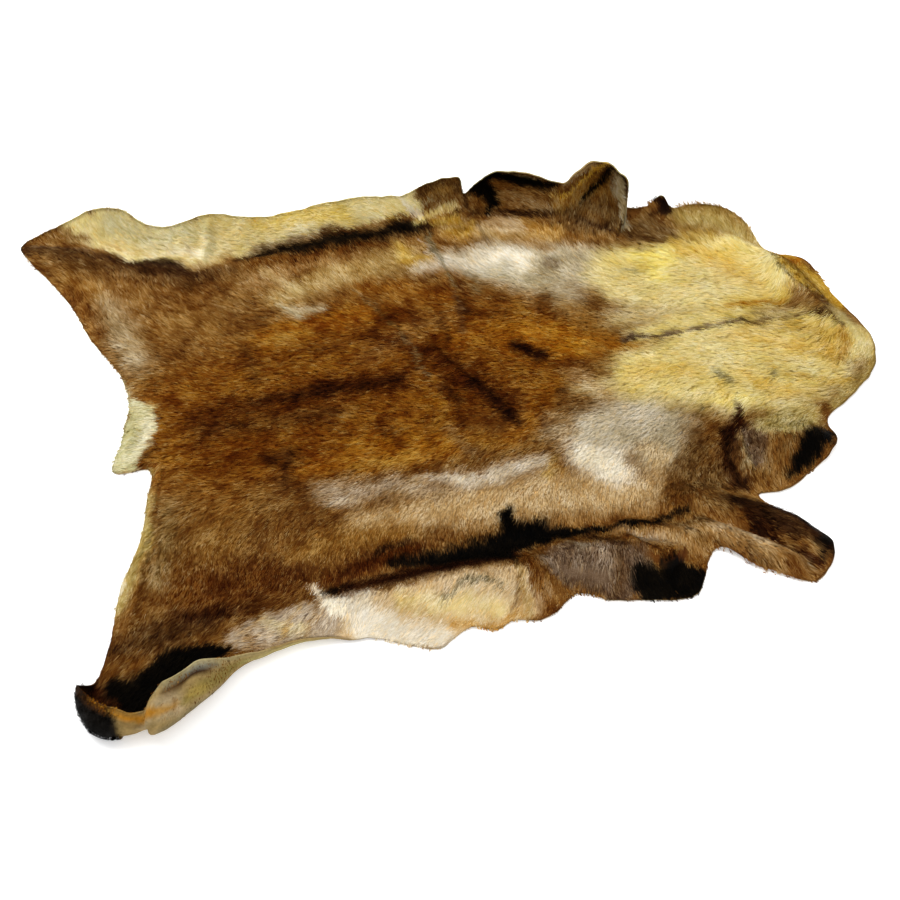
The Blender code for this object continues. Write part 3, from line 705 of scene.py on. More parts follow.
@dataclass
class Skin:
    """The skin as one sheet of triangles: a strip along the rim, which carries the turned-up arcs, and the
    flat field inside it.
    """

    sections: int = 900
    rings: int = 18
    border: float = 0.115
    evening: int = 12  # sections on each side over which the strip's inner end is evened out
    spacing: float = 0.0063
    clearance: float = 0.6  # of a spacing, between the strip and the field's points
    thickness: float = 0.002
    pile_back: float = 0.010
    pile_neck: float = 0.015
    pile_rim: float = 0.0025
    thinning: float = 0.060  # the distance from the rim over which the pile grows
    wave: float = 0.0009
    neck_start: float = 0.18
    neck_full: float = 0.40
    inland: float = 1.0  # what the field's points hold as their distance from the rim
    before: float = -0.2  # and as the way past an arc's start
    points: np.ndarray = field(init=False)
    base: np.ndarray = field(init=False)  # the points before the folds lift them
    unrolled: np.ndarray = field(init=False)
    from_rim: np.ndarray = field(init=False)
    past: np.ndarray = field(init=False)  # how far past the arc's start, below 0 on the flat
    radius: np.ndarray = field(init=False)
    heading: np.ndarray = field(init=False)
    outward: np.ndarray = field(init=False)
    triangles: np.ndarray = field(init=False)
    normals: np.ndarray = field(init=False)
    pile: np.ndarray = field(init=False)
    centre: np.ndarray = field(init=False)

    def __post_init__(self) -> None:
        """Works out the whole sheet."""
        self.lay_border()
        self.lay_field()
        self.lift_folds()
        self.find_normals()

    @staticmethod
    def rim_rows() -> tuple[np.ndarray, np.ndarray]:
        """The columns of the rim's rows, and the distance along it of each row and of the first again at the
        end.
        """
        rows = np.array(RUMP + FAR_SIDE + NECK + NEAR_SIDE) / [MILLE, MILLE, MILLE, MILLE, 1]
        _, x, y, radius, turn = np.concatenate([rows, rows[:1]]).T
        lift = radius * (1 - np.cos(np.radians(turn)))
        steps = np.sqrt(np.diff(x) ** 2 + np.diff(y) ** 2 + np.diff(lift) ** 2)
        return rows.T, np.concatenate([[0], np.cumsum(steps)])

    @staticmethod
    def rim_curve(values: np.ndarray, knots: np.ndarray, where: np.ndarray) -> np.ndarray:
        """A smooth closed curve through one column of the rim's rows.

        Args:
            values: the column, one value for each row.
            knots: the distance along the rim of each row and of the first again at the end.
            where: the distances at which it is read.

        Returns:
            The values there.
        """
        around = knots[-1]
        knots = np.concatenate([knots[-3:-1] - around, knots, knots[1:3] + around])
        values = np.concatenate([values[-2:], values, values[:3]])
        slopes = np.gradient(values, knots)
        left = np.searchsorted(knots, where, side="right") - 1
        step = knots[left + 1] - knots[left]
        share = (where - knots[left]) / step
        rise = values[left + 1] - values[left]
        start = share * (1 - share) ** 2 * step * slopes[left]
        end = share**2 * (share - 1) * step * slopes[left + 1]
        return values[left] + rise * share**2 * (3 - 2 * share) + start + end

    def lay_border(self) -> None:
        """The strip along the rim: sections from the spine that end in the turned-up arcs."""
        (hub_x, rim_x, rim_y, rim_radius, rim_turn), knots = self.rim_rows()
        where = knots[-1] * np.arange(self.sections) / self.sections
        hubs = np.interp(where, knots, np.append(hub_x, hub_x[0]))
        hub = np.stack([hubs, np.zeros_like(hubs)], axis=-1)[:, None]
        edge_x, edge_y = self.rim_curve(rim_x, knots, where), self.rim_curve(rim_y, knots, where)
        nibble = clouded(edge_x, edge_y, RIM_NIBBLES)
        edge = np.stack([edge_x, edge_y], axis=-1)[:, None]
        length = np.linalg.norm(edge - hub, axis=-1)
        heading = (edge - hub) / length[..., None]
        length = length + nibble[:, None]
        swell = clouded(edge_x, edge_y, ARC_SWELLS, 1.0)
        radius = np.maximum(self.rim_curve(rim_radius, knots, where) * swell, MIN_RADIUS)[:, None]
        turn = np.radians(np.maximum(self.rim_curve(rim_turn, knots, where), 0))[:, None]
        flat = length - radius * np.sin(turn)
        total = flat + radius * turn
        deep = np.maximum(radius * turn, self.border)
        shifts = range(-self.evening, self.evening + 1)
        deep = np.max([np.roll(deep, shift, axis=0) for shift in shifts], axis=0)
        deep = np.mean([np.roll(deep, shift, axis=0) for shift in shifts], axis=0)
        start = total - deep
        travelled = start + (total - start) * np.linspace(0, 1, self.rings + 1)[None, :]
        angle = np.maximum(travelled - flat, 0) / radius
        reach = np.minimum(travelled, flat) + radius * np.sin(angle)
        plan = hub + heading * reach[..., None]
        lift = radius * (1 - np.cos(angle))
        across = np.broadcast_to(heading, plan.shape)
        from_rim = total - travelled
        up = np.concatenate([-across * np.sin(angle)[..., None], np.cos(angle)[..., None]], axis=-1)
        dent = self.dented(plan[..., 0], plan[..., 1], from_rim)
        base = np.concatenate([plan, lift[..., None]], axis=-1) + up * dent[..., None]
        self.base = base.reshape(-1, 3)
        self.unrolled = (hub + heading * travelled[..., None]).reshape(-1, 2)
        self.from_rim = from_rim.reshape(-1)
        self.heading = across.reshape(-1, 2).copy()
        self.past = (travelled - flat).reshape(-1)
        self.radius = np.broadcast_to(radius, travelled.shape).reshape(-1).copy()
        outward = np.concatenate([across * np.cos(angle)[..., None], np.sin(angle)[..., None]], axis=-1)
        self.outward = unit(outward.reshape(-1, 3))

    def ring(self, at: int) -> np.ndarray:
        """The numbers of the strip's points that lie on one ring, 0 being the innermost."""
        return np.arange(self.sections) * (self.rings + 1) + at

    def lay_field(self) -> None:
        """Fills the strip's inner loop with an even field of points, and joins everything to triangles."""
        loop = self.base[self.ring(0), :2]
        low, high = loop.min(axis=0), loop.max(axis=0)
        rows = np.arange(low[1], high[1], self.spacing * math.sqrt(0.75))
        columns = np.arange(low[0], high[0], self.spacing)
        grid_x, grid_y = np.meshgrid(columns, rows)
        grid_x[1::2] += self.spacing / 2
        x, y = grid_x.ravel(), grid_y.ravel()
        inside = np.zeros(len(x), bool)
        nearest = np.full(len(x), np.inf)
        for (ax, ay), (bx, by) in zip(loop, np.roll(loop, -1, axis=0)):
            passes = (ay > y) != (by > y)
            inside ^= passes & (x < ax + (bx - ax) * (y - ay) / (by - ay if by != ay else 1))
            length = max((bx - ax) ** 2 + (by - ay) ** 2, TINY)
            along = np.clip(((x - ax) * (bx - ax) + (y - ay) * (by - ay)) / length, 0, 1)
            nearest = np.minimum(nearest, np.hypot(x - ax - along * (bx - ax), y - ay - along * (by - ay)))
        keep = inside & (nearest > self.clearance * self.spacing)
        field_points = np.stack([x[keep], y[keep]], axis=-1)
        places = [Vector(place) for place in np.concatenate([loop, field_points])]
        outline = list(range(self.sections))[::-1]
        _, _, faces, origins, _, _ = delaunay_2d_cdt(places, [], [outline], INSIDE_ONLY, SAME_PLACE)
        first = len(self.base)
        numbers = np.concatenate([self.ring(0), first + np.arange(len(field_points))])
        names = np.array([numbers[origin[0]] for origin in origins])
        inner = names[np.array(faces)]
        here = np.arange(self.sections)[:, None] * (self.rings + 1) + np.arange(self.rings)[None, :]
        after = np.roll(here, -1, axis=0)
        one = np.stack([here, here + 1, after + 1], axis=-1).reshape(-1, 3)
        two = np.stack([here, after + 1, after], axis=-1).reshape(-1, 3)
        self.triangles = np.concatenate([inner, one[:, ::-1], two[:, ::-1]])
        count = len(field_points)
        self.base = np.concatenate([self.base, np.c_[field_points, np.zeros(count)]])
        self.unrolled = np.concatenate([self.unrolled, field_points])
        self.from_rim = np.concatenate([self.from_rim, np.full(count, self.inland)])
        self.past = np.concatenate([self.past, np.full(count, self.before)])
        self.radius = np.concatenate([self.radius, np.ones(count)])
        self.heading = np.concatenate([self.heading, np.tile([1.0, 0.0], (count, 1))])
        self.outward = np.concatenate([self.outward, np.tile([1.0, 0.0, 0.0], (count, 1))])

    @staticmethod
    def dented(x: np.ndarray, y: np.ndarray, from_rim: np.ndarray) -> np.ndarray:
        """How far the near hock's curl is pressed in at these places."""
        return along_paths(DENTS, x, from_rim) * (y < 0)

    @staticmethod
    def rise(x: np.ndarray, y: np.ndarray, from_rim: np.ndarray) -> np.ndarray:
        """How far the folds, the finer wrinkles and the skin's own unevenness lift these places."""
        fine = clouded(x, y, SKIN_HUMPS)
        folded = along_paths(FOLDS, x, y) + along_paths(WRINKLES, x, y)
        return folded + np.maximum(fine, 0) * steady(0.0, HUMP_REACH, from_rim)

    def depth(self, x: np.ndarray, y: np.ndarray, from_rim: np.ndarray) -> np.ndarray:
        """How deep the lying hair is at these places."""
        deep = self.pile_back + (self.pile_neck - self.pile_back) * steady(self.neck_start, self.neck_full, x)
        lumps = self.wave * (np.sin(31 * x + 4 * y) * np.cos(27 * y) + 0.6 * np.sin(53 * y - 19 * x))
        lumps = clouded(x, y, PILE_LUMPS, lumps)
        deep = self.pile_rim + (deep + lumps - self.pile_rim) * steady(0, self.thinning, from_rim)
        return deep * (1 - along_paths(CREASES, x, y))

    def lift_folds(self) -> None:
        """Raises the skin over its folds, and finds the middle of the hide's box."""
        x, y = self.base[:, 0], self.base[:, 1]
        self.points = self.base + [0, 0, 1] * self.rise(x, y, self.from_rim)[:, None]
        self.pile = self.depth(x, y, self.from_rim)
        self.centre = np.array([*TABLE_MIDDLE, 0.0])

    def find_normals(self) -> None:
        """The direction out of the hair side at each point."""
        faces = crosses(self.points, self.triangles)
        normals = np.zeros_like(self.points)
        for corner in range(3):
            np.add.at(normals, self.triangles[:, corner], faces)
        self.normals = unit(normals)


# ---------------------------------------------------------------- the hair's lay

# Places where the hair leaves its usual lay: x and y in millimetres, the way its tips point in degrees from
# +X, how far that reaches in millimetres, and how strongly it pulls.
LAYS = (
    (340, -440, -52, 75, 5.0),  # near foreleg
    (410, -520, -50, 60, 5.0),  # near foreleg end
    (160, -480, -85, 60, 3.0),  # near cuff
    (70, -460, -120, 50, 2.0),  # cuff
    (20, 300, 118, 70, 1.2), (120, 290, 106, 70, 1.4), (220, 250, 100, 70, 1.4),  # far shoulder
    (320, 220, 104, 60, 1.2),  # far shoulder end
    (330, 320, 60, 50, 4.0),  # far foreleg
    (370, 290, 45, 40, 3.0),  # far foreleg crest
    (220, 370, 150, 50, 3.0),  # far curl
    (540, 250, 78, 70, 3.0),  # far mane
    (600, 190, 60, 60, 2.5),  # far mane end
    (450, 280, 95, 45, 2.5),  # far neck
    (-560, -450, -140, 80, 3.0),  # near hind leg
    (-380, -440, -165, 60, 3.0),  # near thigh
    (-620, 460, 152, 70, 2.5),  # far hind leg
    (-520, 480, 150, 45, 5.0),  # far thigh
    # far strip
    (-430, 430, 165, 40, 6.0), (-350, 430, 170, 40, 6.0), (-270, 425, 172, 40, 6.0),
    (-190, 425, 172, 40, 6.0), (-110, 425, 172, 40, 6.0), (-30, 425, 168, 40, 6.0),
    # stripe
    (-240, -395, -112, 35, 4.0), (-170, -395, -108, 35, 4.0), (-100, -395, -105, 35, 4.0),
    (-30, -395, -105, 35, 4.0),
    (-220, -480, -165, 40, 4.0), (-140, -480, -160, 40, 4.0), (-60, -485, -160, 40, 4.0),  # belly roll
    (480, -320, -80, 50, 3.0),  # near neck lobe
    (400, -300, -100, 40, 3.0),  # notch
    (655, 60, -75, 50, 4.0),  # neck flap
    (665, -110, -110, 50, 3.0),  # neck corner
)
SIDE_LAY = 72  # degrees by which the tips turn down at the sides
SIDE_BAND = (0.06, 0.36)  # the distances from the spine between which they turn
NECK_BAND = (0.25, 0.45)  # the X between which the neck's tips turn down less


def tip_direction(x: np.ndarray, y: np.ndarray) -> np.ndarray:
    """The angle in the skin's own plane at which the hair's tips point: to the rump, and down the sides."""
    down = np.sign(y) * steady(*SIDE_BAND, np.abs(y))
    spread = np.radians(SIDE_LAY) * down * (1 - 0.5 * steady(*NECK_BAND, x))
    way = np.stack([-np.cos(spread), np.sin(spread)], axis=-1)
    for lay_x, lay_y, degrees, reach, strength in LAYS:
        apart = (x - lay_x / MILLE) ** 2 + (y - lay_y / MILLE) ** 2
        pull = strength * np.exp(-apart / (reach / MILLE) ** 2)
        angle = math.radians(degrees)
        way = way + pull[:, None] * np.array([math.cos(angle), math.sin(angle)])
    angle = np.arctan2(way[:, 1], way[:, 0])
    return angle + clouded(x, y, SWIRLS)


# ---------------------------------------------------------------- shader groups


class Nodes:
    """Adds nodes to one tree, with their values and links."""

    def __init__(self, tree: Tree) -> None:
        """Keeps the tree."""
        self.tree = tree

    def fill(self, node: Node, inputs: dict) -> None:
        """Gives inputs of the node, by name or number, their values or the output sockets that feed them."""
        for name, value in inputs.items():
            if isinstance(value, Socket):
                self.tree.links.new(value, node.inputs[name])
            else:
                node.inputs[name].default_value = value

    def add(self, kind: str, inputs: dict | None = None, **settings: object) -> Node:
        """Adds a node.

        Args:
            kind: the node's type name.
            inputs: values or output sockets for its inputs, by name or number.
            settings: the node's own settings.

        Returns:
            The node.
        """
        node = self.tree.nodes.new(kind)
        for name, value in settings.items():
            setattr(node, name, value)
        self.fill(node, inputs or {})
        return node

    def object_place(self) -> Socket:
        """The place on the piece."""
        return self.add("ShaderNodeTexCoord").outputs["Object"]

    def stored(self, name: str, output: str) -> Socket:
        """What the piece's points hold under this name."""
        settings = {"attribute_name": name, "attribute_type": "GEOMETRY"}
        return self.add("ShaderNodeAttribute", **settings).outputs[output]

    def noise(self, place: Socket, scale: float | Socket, detail: float) -> Socket:
        """Plain noise from 0 to 1 at this scale."""
        inputs = {"Vector": place, "Scale": scale, "Detail": detail}
        return self.add("ShaderNodeTexNoise", inputs).outputs["Fac"]

    def maths(self, operation: str, first: float | Socket, second: float | Socket) -> Socket:
        """One number made of two."""
        return self.add("ShaderNodeMath", {0: first, 1: second}, operation=operation).outputs[0]

    def between(self, value: Socket, given: tuple, wanted: tuple) -> Socket:
        """The value moved from the given range to the wanted one, held at its ends."""
        ends = dict(zip(("From Min", "From Max", "To Min", "To Max"), given + wanted))
        return self.add("ShaderNodeMapRange", {"Value": value, **ends}).outputs["Result"]

    def multiplied(self, factor: Socket, first: Socket, second: Socket) -> Socket:
        """The first colour, taken times the second as far as the factor says."""
        colours = {0: factor, 6: first, 7: second}
        return self.add("ShaderNodeMix", colours, data_type="RGBA", blend_type="MULTIPLY").outputs[2]

    def bump(self, height: Socket, strength: float, distance: float) -> Socket:
        """The normal of a surface with this relief."""
        inputs = {"Height": height, "Strength": strength, "Distance": distance}
        return self.add("ShaderNodeBump", inputs).outputs["Normal"]


COLOUR = "NodeSocketColor"
NUMBER = "NodeSocketFloat"


def group(name: str, inputs: tuple) -> tuple[Nodes, Node, Node]:
    """A new shader group that gives a colour, a roughness and a height.

    Args:
        name: the group's name.
        inputs: (name, socket type, usual value) of each input.

    Returns:
        The helper for its nodes, and its input and output nodes.
    """
    tree = bpy.data.node_groups.new(name, "ShaderNodeTree")
    for socket, kind, usual in inputs:
        tree.interface.new_socket(name=socket, in_out="INPUT", socket_type=kind).default_value = usual
    for socket, kind in (("Colour", COLOUR), ("Roughness", NUMBER), ("Height", NUMBER)):
        tree.interface.new_socket(name=socket, in_out="OUTPUT", socket_type=kind)
    nodes = Nodes(tree)
    return nodes, nodes.add("NodeGroupInput"), nodes.add("NodeGroupOutput")


def mottle_group() -> Tree:
    """Uneven tone: patches, tufts and single hairs, lighter and darker than the colour that comes in."""
    usual = (("Colour", COLOUR, (0.5, 0.5, 0.5, 1)), ("Fine Scale", NUMBER, 420.0), ("Amount", NUMBER, 0.35))
    nodes, given, result = group("coat mottle", usual)
    place = nodes.object_place()
    fine = nodes.noise(place, given.outputs["Fine Scale"], 3.0)
    patch = nodes.noise(place, 42.0, 3.0)
    swing = nodes.maths("SUBTRACT", nodes.maths("ADD", fine, patch), 1.0)
    power = nodes.maths("SUBTRACT", 1.0, nodes.maths("MULTIPLY", swing, given.outputs["Amount"]))
    toned = nodes.add("ShaderNodeGamma", {"Color": given.outputs["Colour"], "Gamma": power}).outputs["Color"]
    rough = nodes.between(fine, (0.3, 0.7), (0.78, 0.5))
    nodes.fill(result, {"Colour": toned, "Roughness": rough, "Height": fine})
    return nodes.tree


def grain_group() -> Tree:
    """Tanned skin's flesh side: pores, scraped nap and stains."""
    usual = (("Colour", COLOUR, (0.5, 0.5, 0.4, 1)), ("Stain", COLOUR, (0.3, 0.3, 0.2, 1)))
    nodes, given, result = group("skin grain", usual)
    place = nodes.object_place()
    pores = nodes.add("ShaderNodeTexVoronoi", {"Vector": place, "Scale": 620.0}).outputs["Distance"]
    nap = nodes.noise(place, 230.0, 4.0)
    stains = nodes.between(nodes.noise(place, 17.0, 4.0), (0.42, 0.68), (0.0, 0.65))
    flecks = nodes.between(nodes.noise(place, 95.0, 3.0), (0.55, 0.75), (0.0, 0.4))
    marked = nodes.multiplied(stains, given.outputs["Colour"], given.outputs["Stain"])
    marked = nodes.multiplied(flecks, marked, given.outputs["Stain"])
    tone = nodes.between(nap, (0.3, 0.7), (0.8, 1.12))
    shaded = nodes.add("ShaderNodeVectorMath", {0: marked, "Scale": tone}, operation="SCALE").outputs[0]
    height = nodes.maths("ADD", pores, nap)
    rough = nodes.between(nap, (0.3, 0.7), (0.9, 0.72))
    nodes.fill(result, {"Colour": shaded, "Roughness": rough, "Height": height})
    return nodes.tree


# ---------------------------------------------------------------- finishes


def surface(name: str) -> tuple[Material, Nodes, Node]:
    """A new material, the helper for its nodes, and its shader."""
    made = bpy.data.materials.new(name)
    made.use_nodes = True
    return made, Nodes(made.node_tree), made.node_tree.nodes["Principled BSDF"]


@dataclass(frozen=True)
class HairFinish:
    """The strands: the coat's painted colour, darker at the root as painted shade among the hairs, toned hair
    by hair.
    """

    name: str = "reindeer hair"
    root_shade_power: float = 1.55  # painted shade on the colour at the root: deep where the hair is dark, slight where it is pale
    root_end: float = 0.6  # the share of the strand that the root's painted shade reaches
    amount: float = 0.45
    fine: float = 900.0
    gloss: float = 0.02

    def material(self, mottle: Tree) -> Material:
        """Makes the material with the mottle group in it."""
        made, nodes, shader = surface(self.name)
        coat, along = nodes.stored("coat", "Color"), nodes.stored("strand", "Fac")
        inputs = {"Fine Scale": self.fine, "Amount": self.amount, "Colour": coat}
        toned = nodes.add("ShaderNodeGroup", inputs, node_tree=mottle).outputs
        # the root's painted shade: the colour darkened towards the root
        power = nodes.between(along, (0.0, self.root_end), (self.root_shade_power, 1.0))
        shaded = nodes.add("ShaderNodeGamma", {"Color": toned["Colour"], "Gamma": power}).outputs["Color"]
        look = {"Base Color": shaded, "Roughness": toned["Roughness"], "Specular IOR Level": self.gloss}
        nodes.fill(shader, look)
        return made


@dataclass(frozen=True)
class UnderCoatFinish:
    """The dense wool under the strands, seen only between them; its colour is the coat's, darkened as painted
    shade.
    """

    name: str = "under coat"
    amount: float = 0.5
    fine: float = 520.0
    relief: float = 0.8
    depth: float = 0.0015
    rough: float = 0.9
    gloss: float = 0.05

    def material(self, mottle: Tree) -> Material:
        """Makes the material with the mottle group in it."""
        made, nodes, shader = surface(self.name)
        coat = nodes.stored("coat", "Color")
        inputs = {"Fine Scale": self.fine, "Amount": self.amount, "Colour": coat}
        toned = nodes.add("ShaderNodeGroup", inputs, node_tree=mottle).outputs
        normal = nodes.bump(toned["Height"], self.relief, self.depth)
        nodes.fill(shader, {"Base Color": toned["Colour"], "Normal": normal})
        nodes.fill(shader, {"Roughness": self.rough, "Specular IOR Level": self.gloss})
        return made


@dataclass(frozen=True)
class FleshFinish:
    """The flesh side: matt tanned skin with pores, a scraped nap and stains."""

    name: str = "tanned skin"
    stain: tuple = (0.62, 0.60, 0.45, 1)  # what a stain leaves of the colour
    relief: float = 0.5
    depth: float = 0.0008
    gloss: float = 0.08

    def material(self, grain: Tree) -> Material:
        """Makes the material with the grain group in it."""
        made, nodes, shader = surface(self.name)
        inputs = {"Colour": nodes.stored("coat", "Color"), "Stain": self.stain}
        grained = nodes.add("ShaderNodeGroup", inputs, node_tree=grain).outputs
        normal = nodes.bump(grained["Height"], self.relief, self.depth)
        look = {"Base Color": grained["Colour"], "Roughness": grained["Roughness"], "Normal": normal}
        nodes.fill(shader, look | {"Specular IOR Level": self.gloss})
        return made


@dataclass(frozen=True)
class FloorFinish:
    """The pale plain floor."""

    name: str = "pale floor"
    tone: float = 0.92
    rough: float = 0.9
    glow: float = 0.34

    def material(self) -> Material:
        """Makes the material."""
        made, nodes, shader = surface(self.name)
        nodes.fill(shader, {"Base Color": (self.tone, self.tone, self.tone, 1), "Roughness": self.rough})
        nodes.fill(shader, {"Emission Color": WHITE, "Emission Strength": self.glow})
        return made


# ---------------------------------------------------------------- pieces


def mesh_of(name: str, points: np.ndarray, triangles: np.ndarray) -> Piece:
    """A mesh object from points and triangles, smooth, at the origin.

    Args:
        name: the piece's name.
        points: its places, one row each.
        triangles: three numbers of points for each face.

    Returns:
        The object, linked to the scene.
    """
    mesh = bpy.data.meshes.new(name)
    mesh.vertices.add(len(points))
    mesh.vertices.foreach_set("co", points.astype(np.float32).ravel())
    mesh.loops.add(triangles.size)
    mesh.loops.foreach_set("vertex_index", triangles.astype(np.int32).ravel())
    mesh.polygons.add(len(triangles))
    mesh.polygons.foreach_set("loop_start", np.arange(0, triangles.size, 3, dtype=np.int32))
    mesh.update(calc_edges=True)
    mesh.validate()
    mesh.shade_smooth()
    made = bpy.data.objects.new(name, mesh)
    bpy.context.scene.collection.objects.link(made)
    return made


def give_colours(piece: Piece, colours: np.ndarray) -> None:
    """Stores each point's colour, as light, in the attribute that the finishes read."""
    layer = piece.data.color_attributes.new("coat", "FLOAT_COLOR", "POINT")
    layer.data.foreach_set("color", np.c_[colours, np.ones(len(colours))].astype(np.float32).ravel())


def give_map(piece: Piece, places: np.ndarray) -> None:
    """Stores a flat map place for each corner of each face."""
    layer = piece.data.uv_layers.new(name="OFBake")
    layer.uv.foreach_set("vector", places.astype(np.float32).ravel())


# The flesh side's strokes: x in plan, then the distance from the rim.
NEAR_FLESH = strokes(
    (Shade.ROSE, 26, 50, (-575, 30, 14), (-548, 38, 22), (-535, 60, 12)),
    (Shade.ASH, 24, 75, (-560, 92, 10), (-510, 88, 12), (-460, 64, 10), (-430, 44, 4)),
    (Shade.OLIVE, 10, 90, (-520, 53, 8), (-498, 42, 13), (-475, 32, 12), (-456, 18, 8), (-438, 12, 3)),
    (Shade.HONEY, 12, 35, (-515, 44, 5), (-495, 40, 5)),
    (Shade.RUMP, 5, 80, (-535, 34, 1), (-536, 56, 1)),
    # painted shade in the hock's pocket
    (Shade.UMBER, 8, 80, (-548, 14, 2), (-530, 14, 6), (-500, 12, 6), (-476, 8, 3)),
    (Shade.SLATE, 5, 60, (-545, 10, 2), (-520, 10, 3), (-490, 7, 3), (-470, 5, 2)),
    (Shade.COFFEE, 6, 90, (-545, 21, 1), (-525, 20, 3), (-500, 16, 3), (-480, 11, 2)),
    (Shade.HIDE, 5, 65, (-556, 2, 2), (-500, 2, 3), (-440, 2, 2), (-400, 2, 1)),
    (Shade.LICHEN, 10, 60, (-440, 14, 5), (-380, 12, 8), (-320, 8, 6)),
    (Shade.SOOT, 12, 100, (-700, 0, 84), (-700, 140, 84)),
    (Shade.SIENNA, 10, 60, (-660, 3, 4), (-630, 5, 5)),
    (Shade.AMBER, 7, 90, (-645, 1, 1), (-615, 4, 4), (-590, 6, 6), (-576, 16, 6), (-562, 42, 5),
        (-548, 44, 4), (-533, 44, 2)),
    (Shade.MUD, 8, 50, (-606, 16, 3), (-586, 22, 3)),
)
FAR_FLESH = strokes(
    (Shade.LICHEN, 20, 70, (-600, 4, 10), (0, 4, 12), (500, 4, 8)),
    (Shade.DUST, 50, 70, (140, 50, 50), (400, 50, 60)),
    (Shade.STRAW, 40, 50, (60, 40, 20), (110, 40, 20)),
    (Shade.ROSE, 50, 40, (-520, 50, 30), (-460, 40, 20)),
    (Shade.IVORY, 60, 60, (-250, 60, 20), (-50, 70, 30)),
)


def flesh_colour(x: np.ndarray, y: np.ndarray, from_rim: np.ndarray) -> np.ndarray:
    """The flesh side's colour, as a screen shows it."""
    near = painted(NEAR_FLESH, Shade.DUST, x, from_rim)
    far = painted(FAR_FLESH, Shade.HIDE, x, from_rim)
    return np.where((y < 0)[:, None], near, far)


@dataclass
class Pelt:
    """The skin with its dense under coat: a thin closed sheet that takes the solid's place."""

    skin: Skin
    under_share: float = 0.40
    painted_shade_power: float = 1.35  # on the coat's colour: painted shade, darker between the strands
    rim_height: float = 0.0006
    top_height: float = 0.0015
    bulge: float = 0.0012  # of the cut rim
    margin: float = 0.01  # of the flat map

    def build(self, under_coat: Material, flesh: Material) -> Piece:
        """Makes the sheet and dresses it.

        Args:
            under_coat: the finish of the hair side.
            flesh: the finish of the flesh side and the cut rim.

        Returns:
            The piece.
        """
        skin = self.skin
        count = len(skin.points)
        depth = skin.thickness + self.under_share * skin.pile
        low = skin.points - skin.centre
        high = low + skin.normals * depth[:, None]
        low[:, 2] = np.maximum(low[:, 2], 0)
        high[:, 2] = np.maximum(high[:, 2], self.top_height)
        rim = skin.ring(skin.rings)
        middle = (low[rim] + high[rim]) / 2 + skin.outward[rim] * self.bulge
        middle[:, 2] = np.maximum(middle[:, 2], self.rim_height)
        edge = 2 * count + np.arange(len(rim))
        strips = []
        for one, four in ((rim, edge), (edge, count + rim)):
            two, three = np.roll(one, -1), np.roll(four, -1)
            strips += [np.stack([one, two, three], axis=-1), np.stack([one, three, four], axis=-1)]
        hair_side = count + skin.triangles
        flesh_side = skin.triangles[:, ::-1]
        triangles = np.concatenate([hair_side, flesh_side, *strips])
        piece = mesh_of("pelt", np.concatenate([low, high, middle]), triangles)
        x, y = skin.points[:, 0], skin.points[:, 1]
        hair = coat_colour(*wandered(x, y), x, skin.from_rim)
        skin_side = linear(flesh_colour(x, y, skin.from_rim))
        # the hair side takes the coat's colour darkened by painted_shade_power: painted shade between the
        # strands
        colours = np.concatenate([skin_side, linear(hair**self.painted_shade_power), skin_side[rim]])
        give_colours(piece, colours)
        flat = (skin.unrolled - skin.unrolled.min(axis=0)) / np.ptp(skin.unrolled, axis=0)
        below = self.margin + flat * [0.98, 0.47]
        above = below + [0, 0.51]
        places = np.concatenate([below, above, below[rim]])
        give_map(piece, places[triangles.ravel()])
        piece.data.materials.append(under_coat)
        piece.data.materials.append(flesh)
        slots = np.ones(len(triangles), np.int32)
        slots[: len(hair_side)] = 0
        piece.data.polygons.foreach_set("material_index", slots)
        return piece


LEAST_OVERHANG = 0.0015
OVERHANGS = (  # x and y, the spread along X and along Y, and how much farther the hair hangs over there
    (0.56, 0.24, 0.09, 0.07, 0.016),  # mane
    (0.50, -0.31, 0.05, 0.05, 0.005),  # lobe of the neck
)
CELL = ((0.5, 0.05), (0.05, 0.5), (0.95, 0.5), (0.5, 0.95))  # a strand's four points in its cell of the map
LIVELY = (0.08, 0.42)  # the brightness between which a colour varies more and more
PALE_BELOW = 0.16  # the tufts whose kind, a number from 0 to 1, is below this are pale and dusty
DARK_ABOVE = 0.82


@dataclass
class Roots:
    """Where hairs stand on the skin, one row for each."""

    place: np.ndarray
    heading: np.ndarray
    past: np.ndarray
    radius: np.ndarray
    from_rim: np.ndarray
    side: np.ndarray  # 1 on the hair side, -1 on the outside of the near hoof
    angle: np.ndarray
    length: np.ndarray
    kind: np.ndarray
    tone: np.ndarray
    hue: np.ndarray

    def picked(self, members: np.ndarray) -> Roots:
        """The rows of these members alone."""
        return Roots(**{name: values[members] for name, values in vars(self).items()})


def drawn(chance: np.random.Generator, count: int, least: float, span: float) -> np.ndarray:
    """Numbers drawn evenly from the least to a span above it."""
    return least + span * chance.random(count)


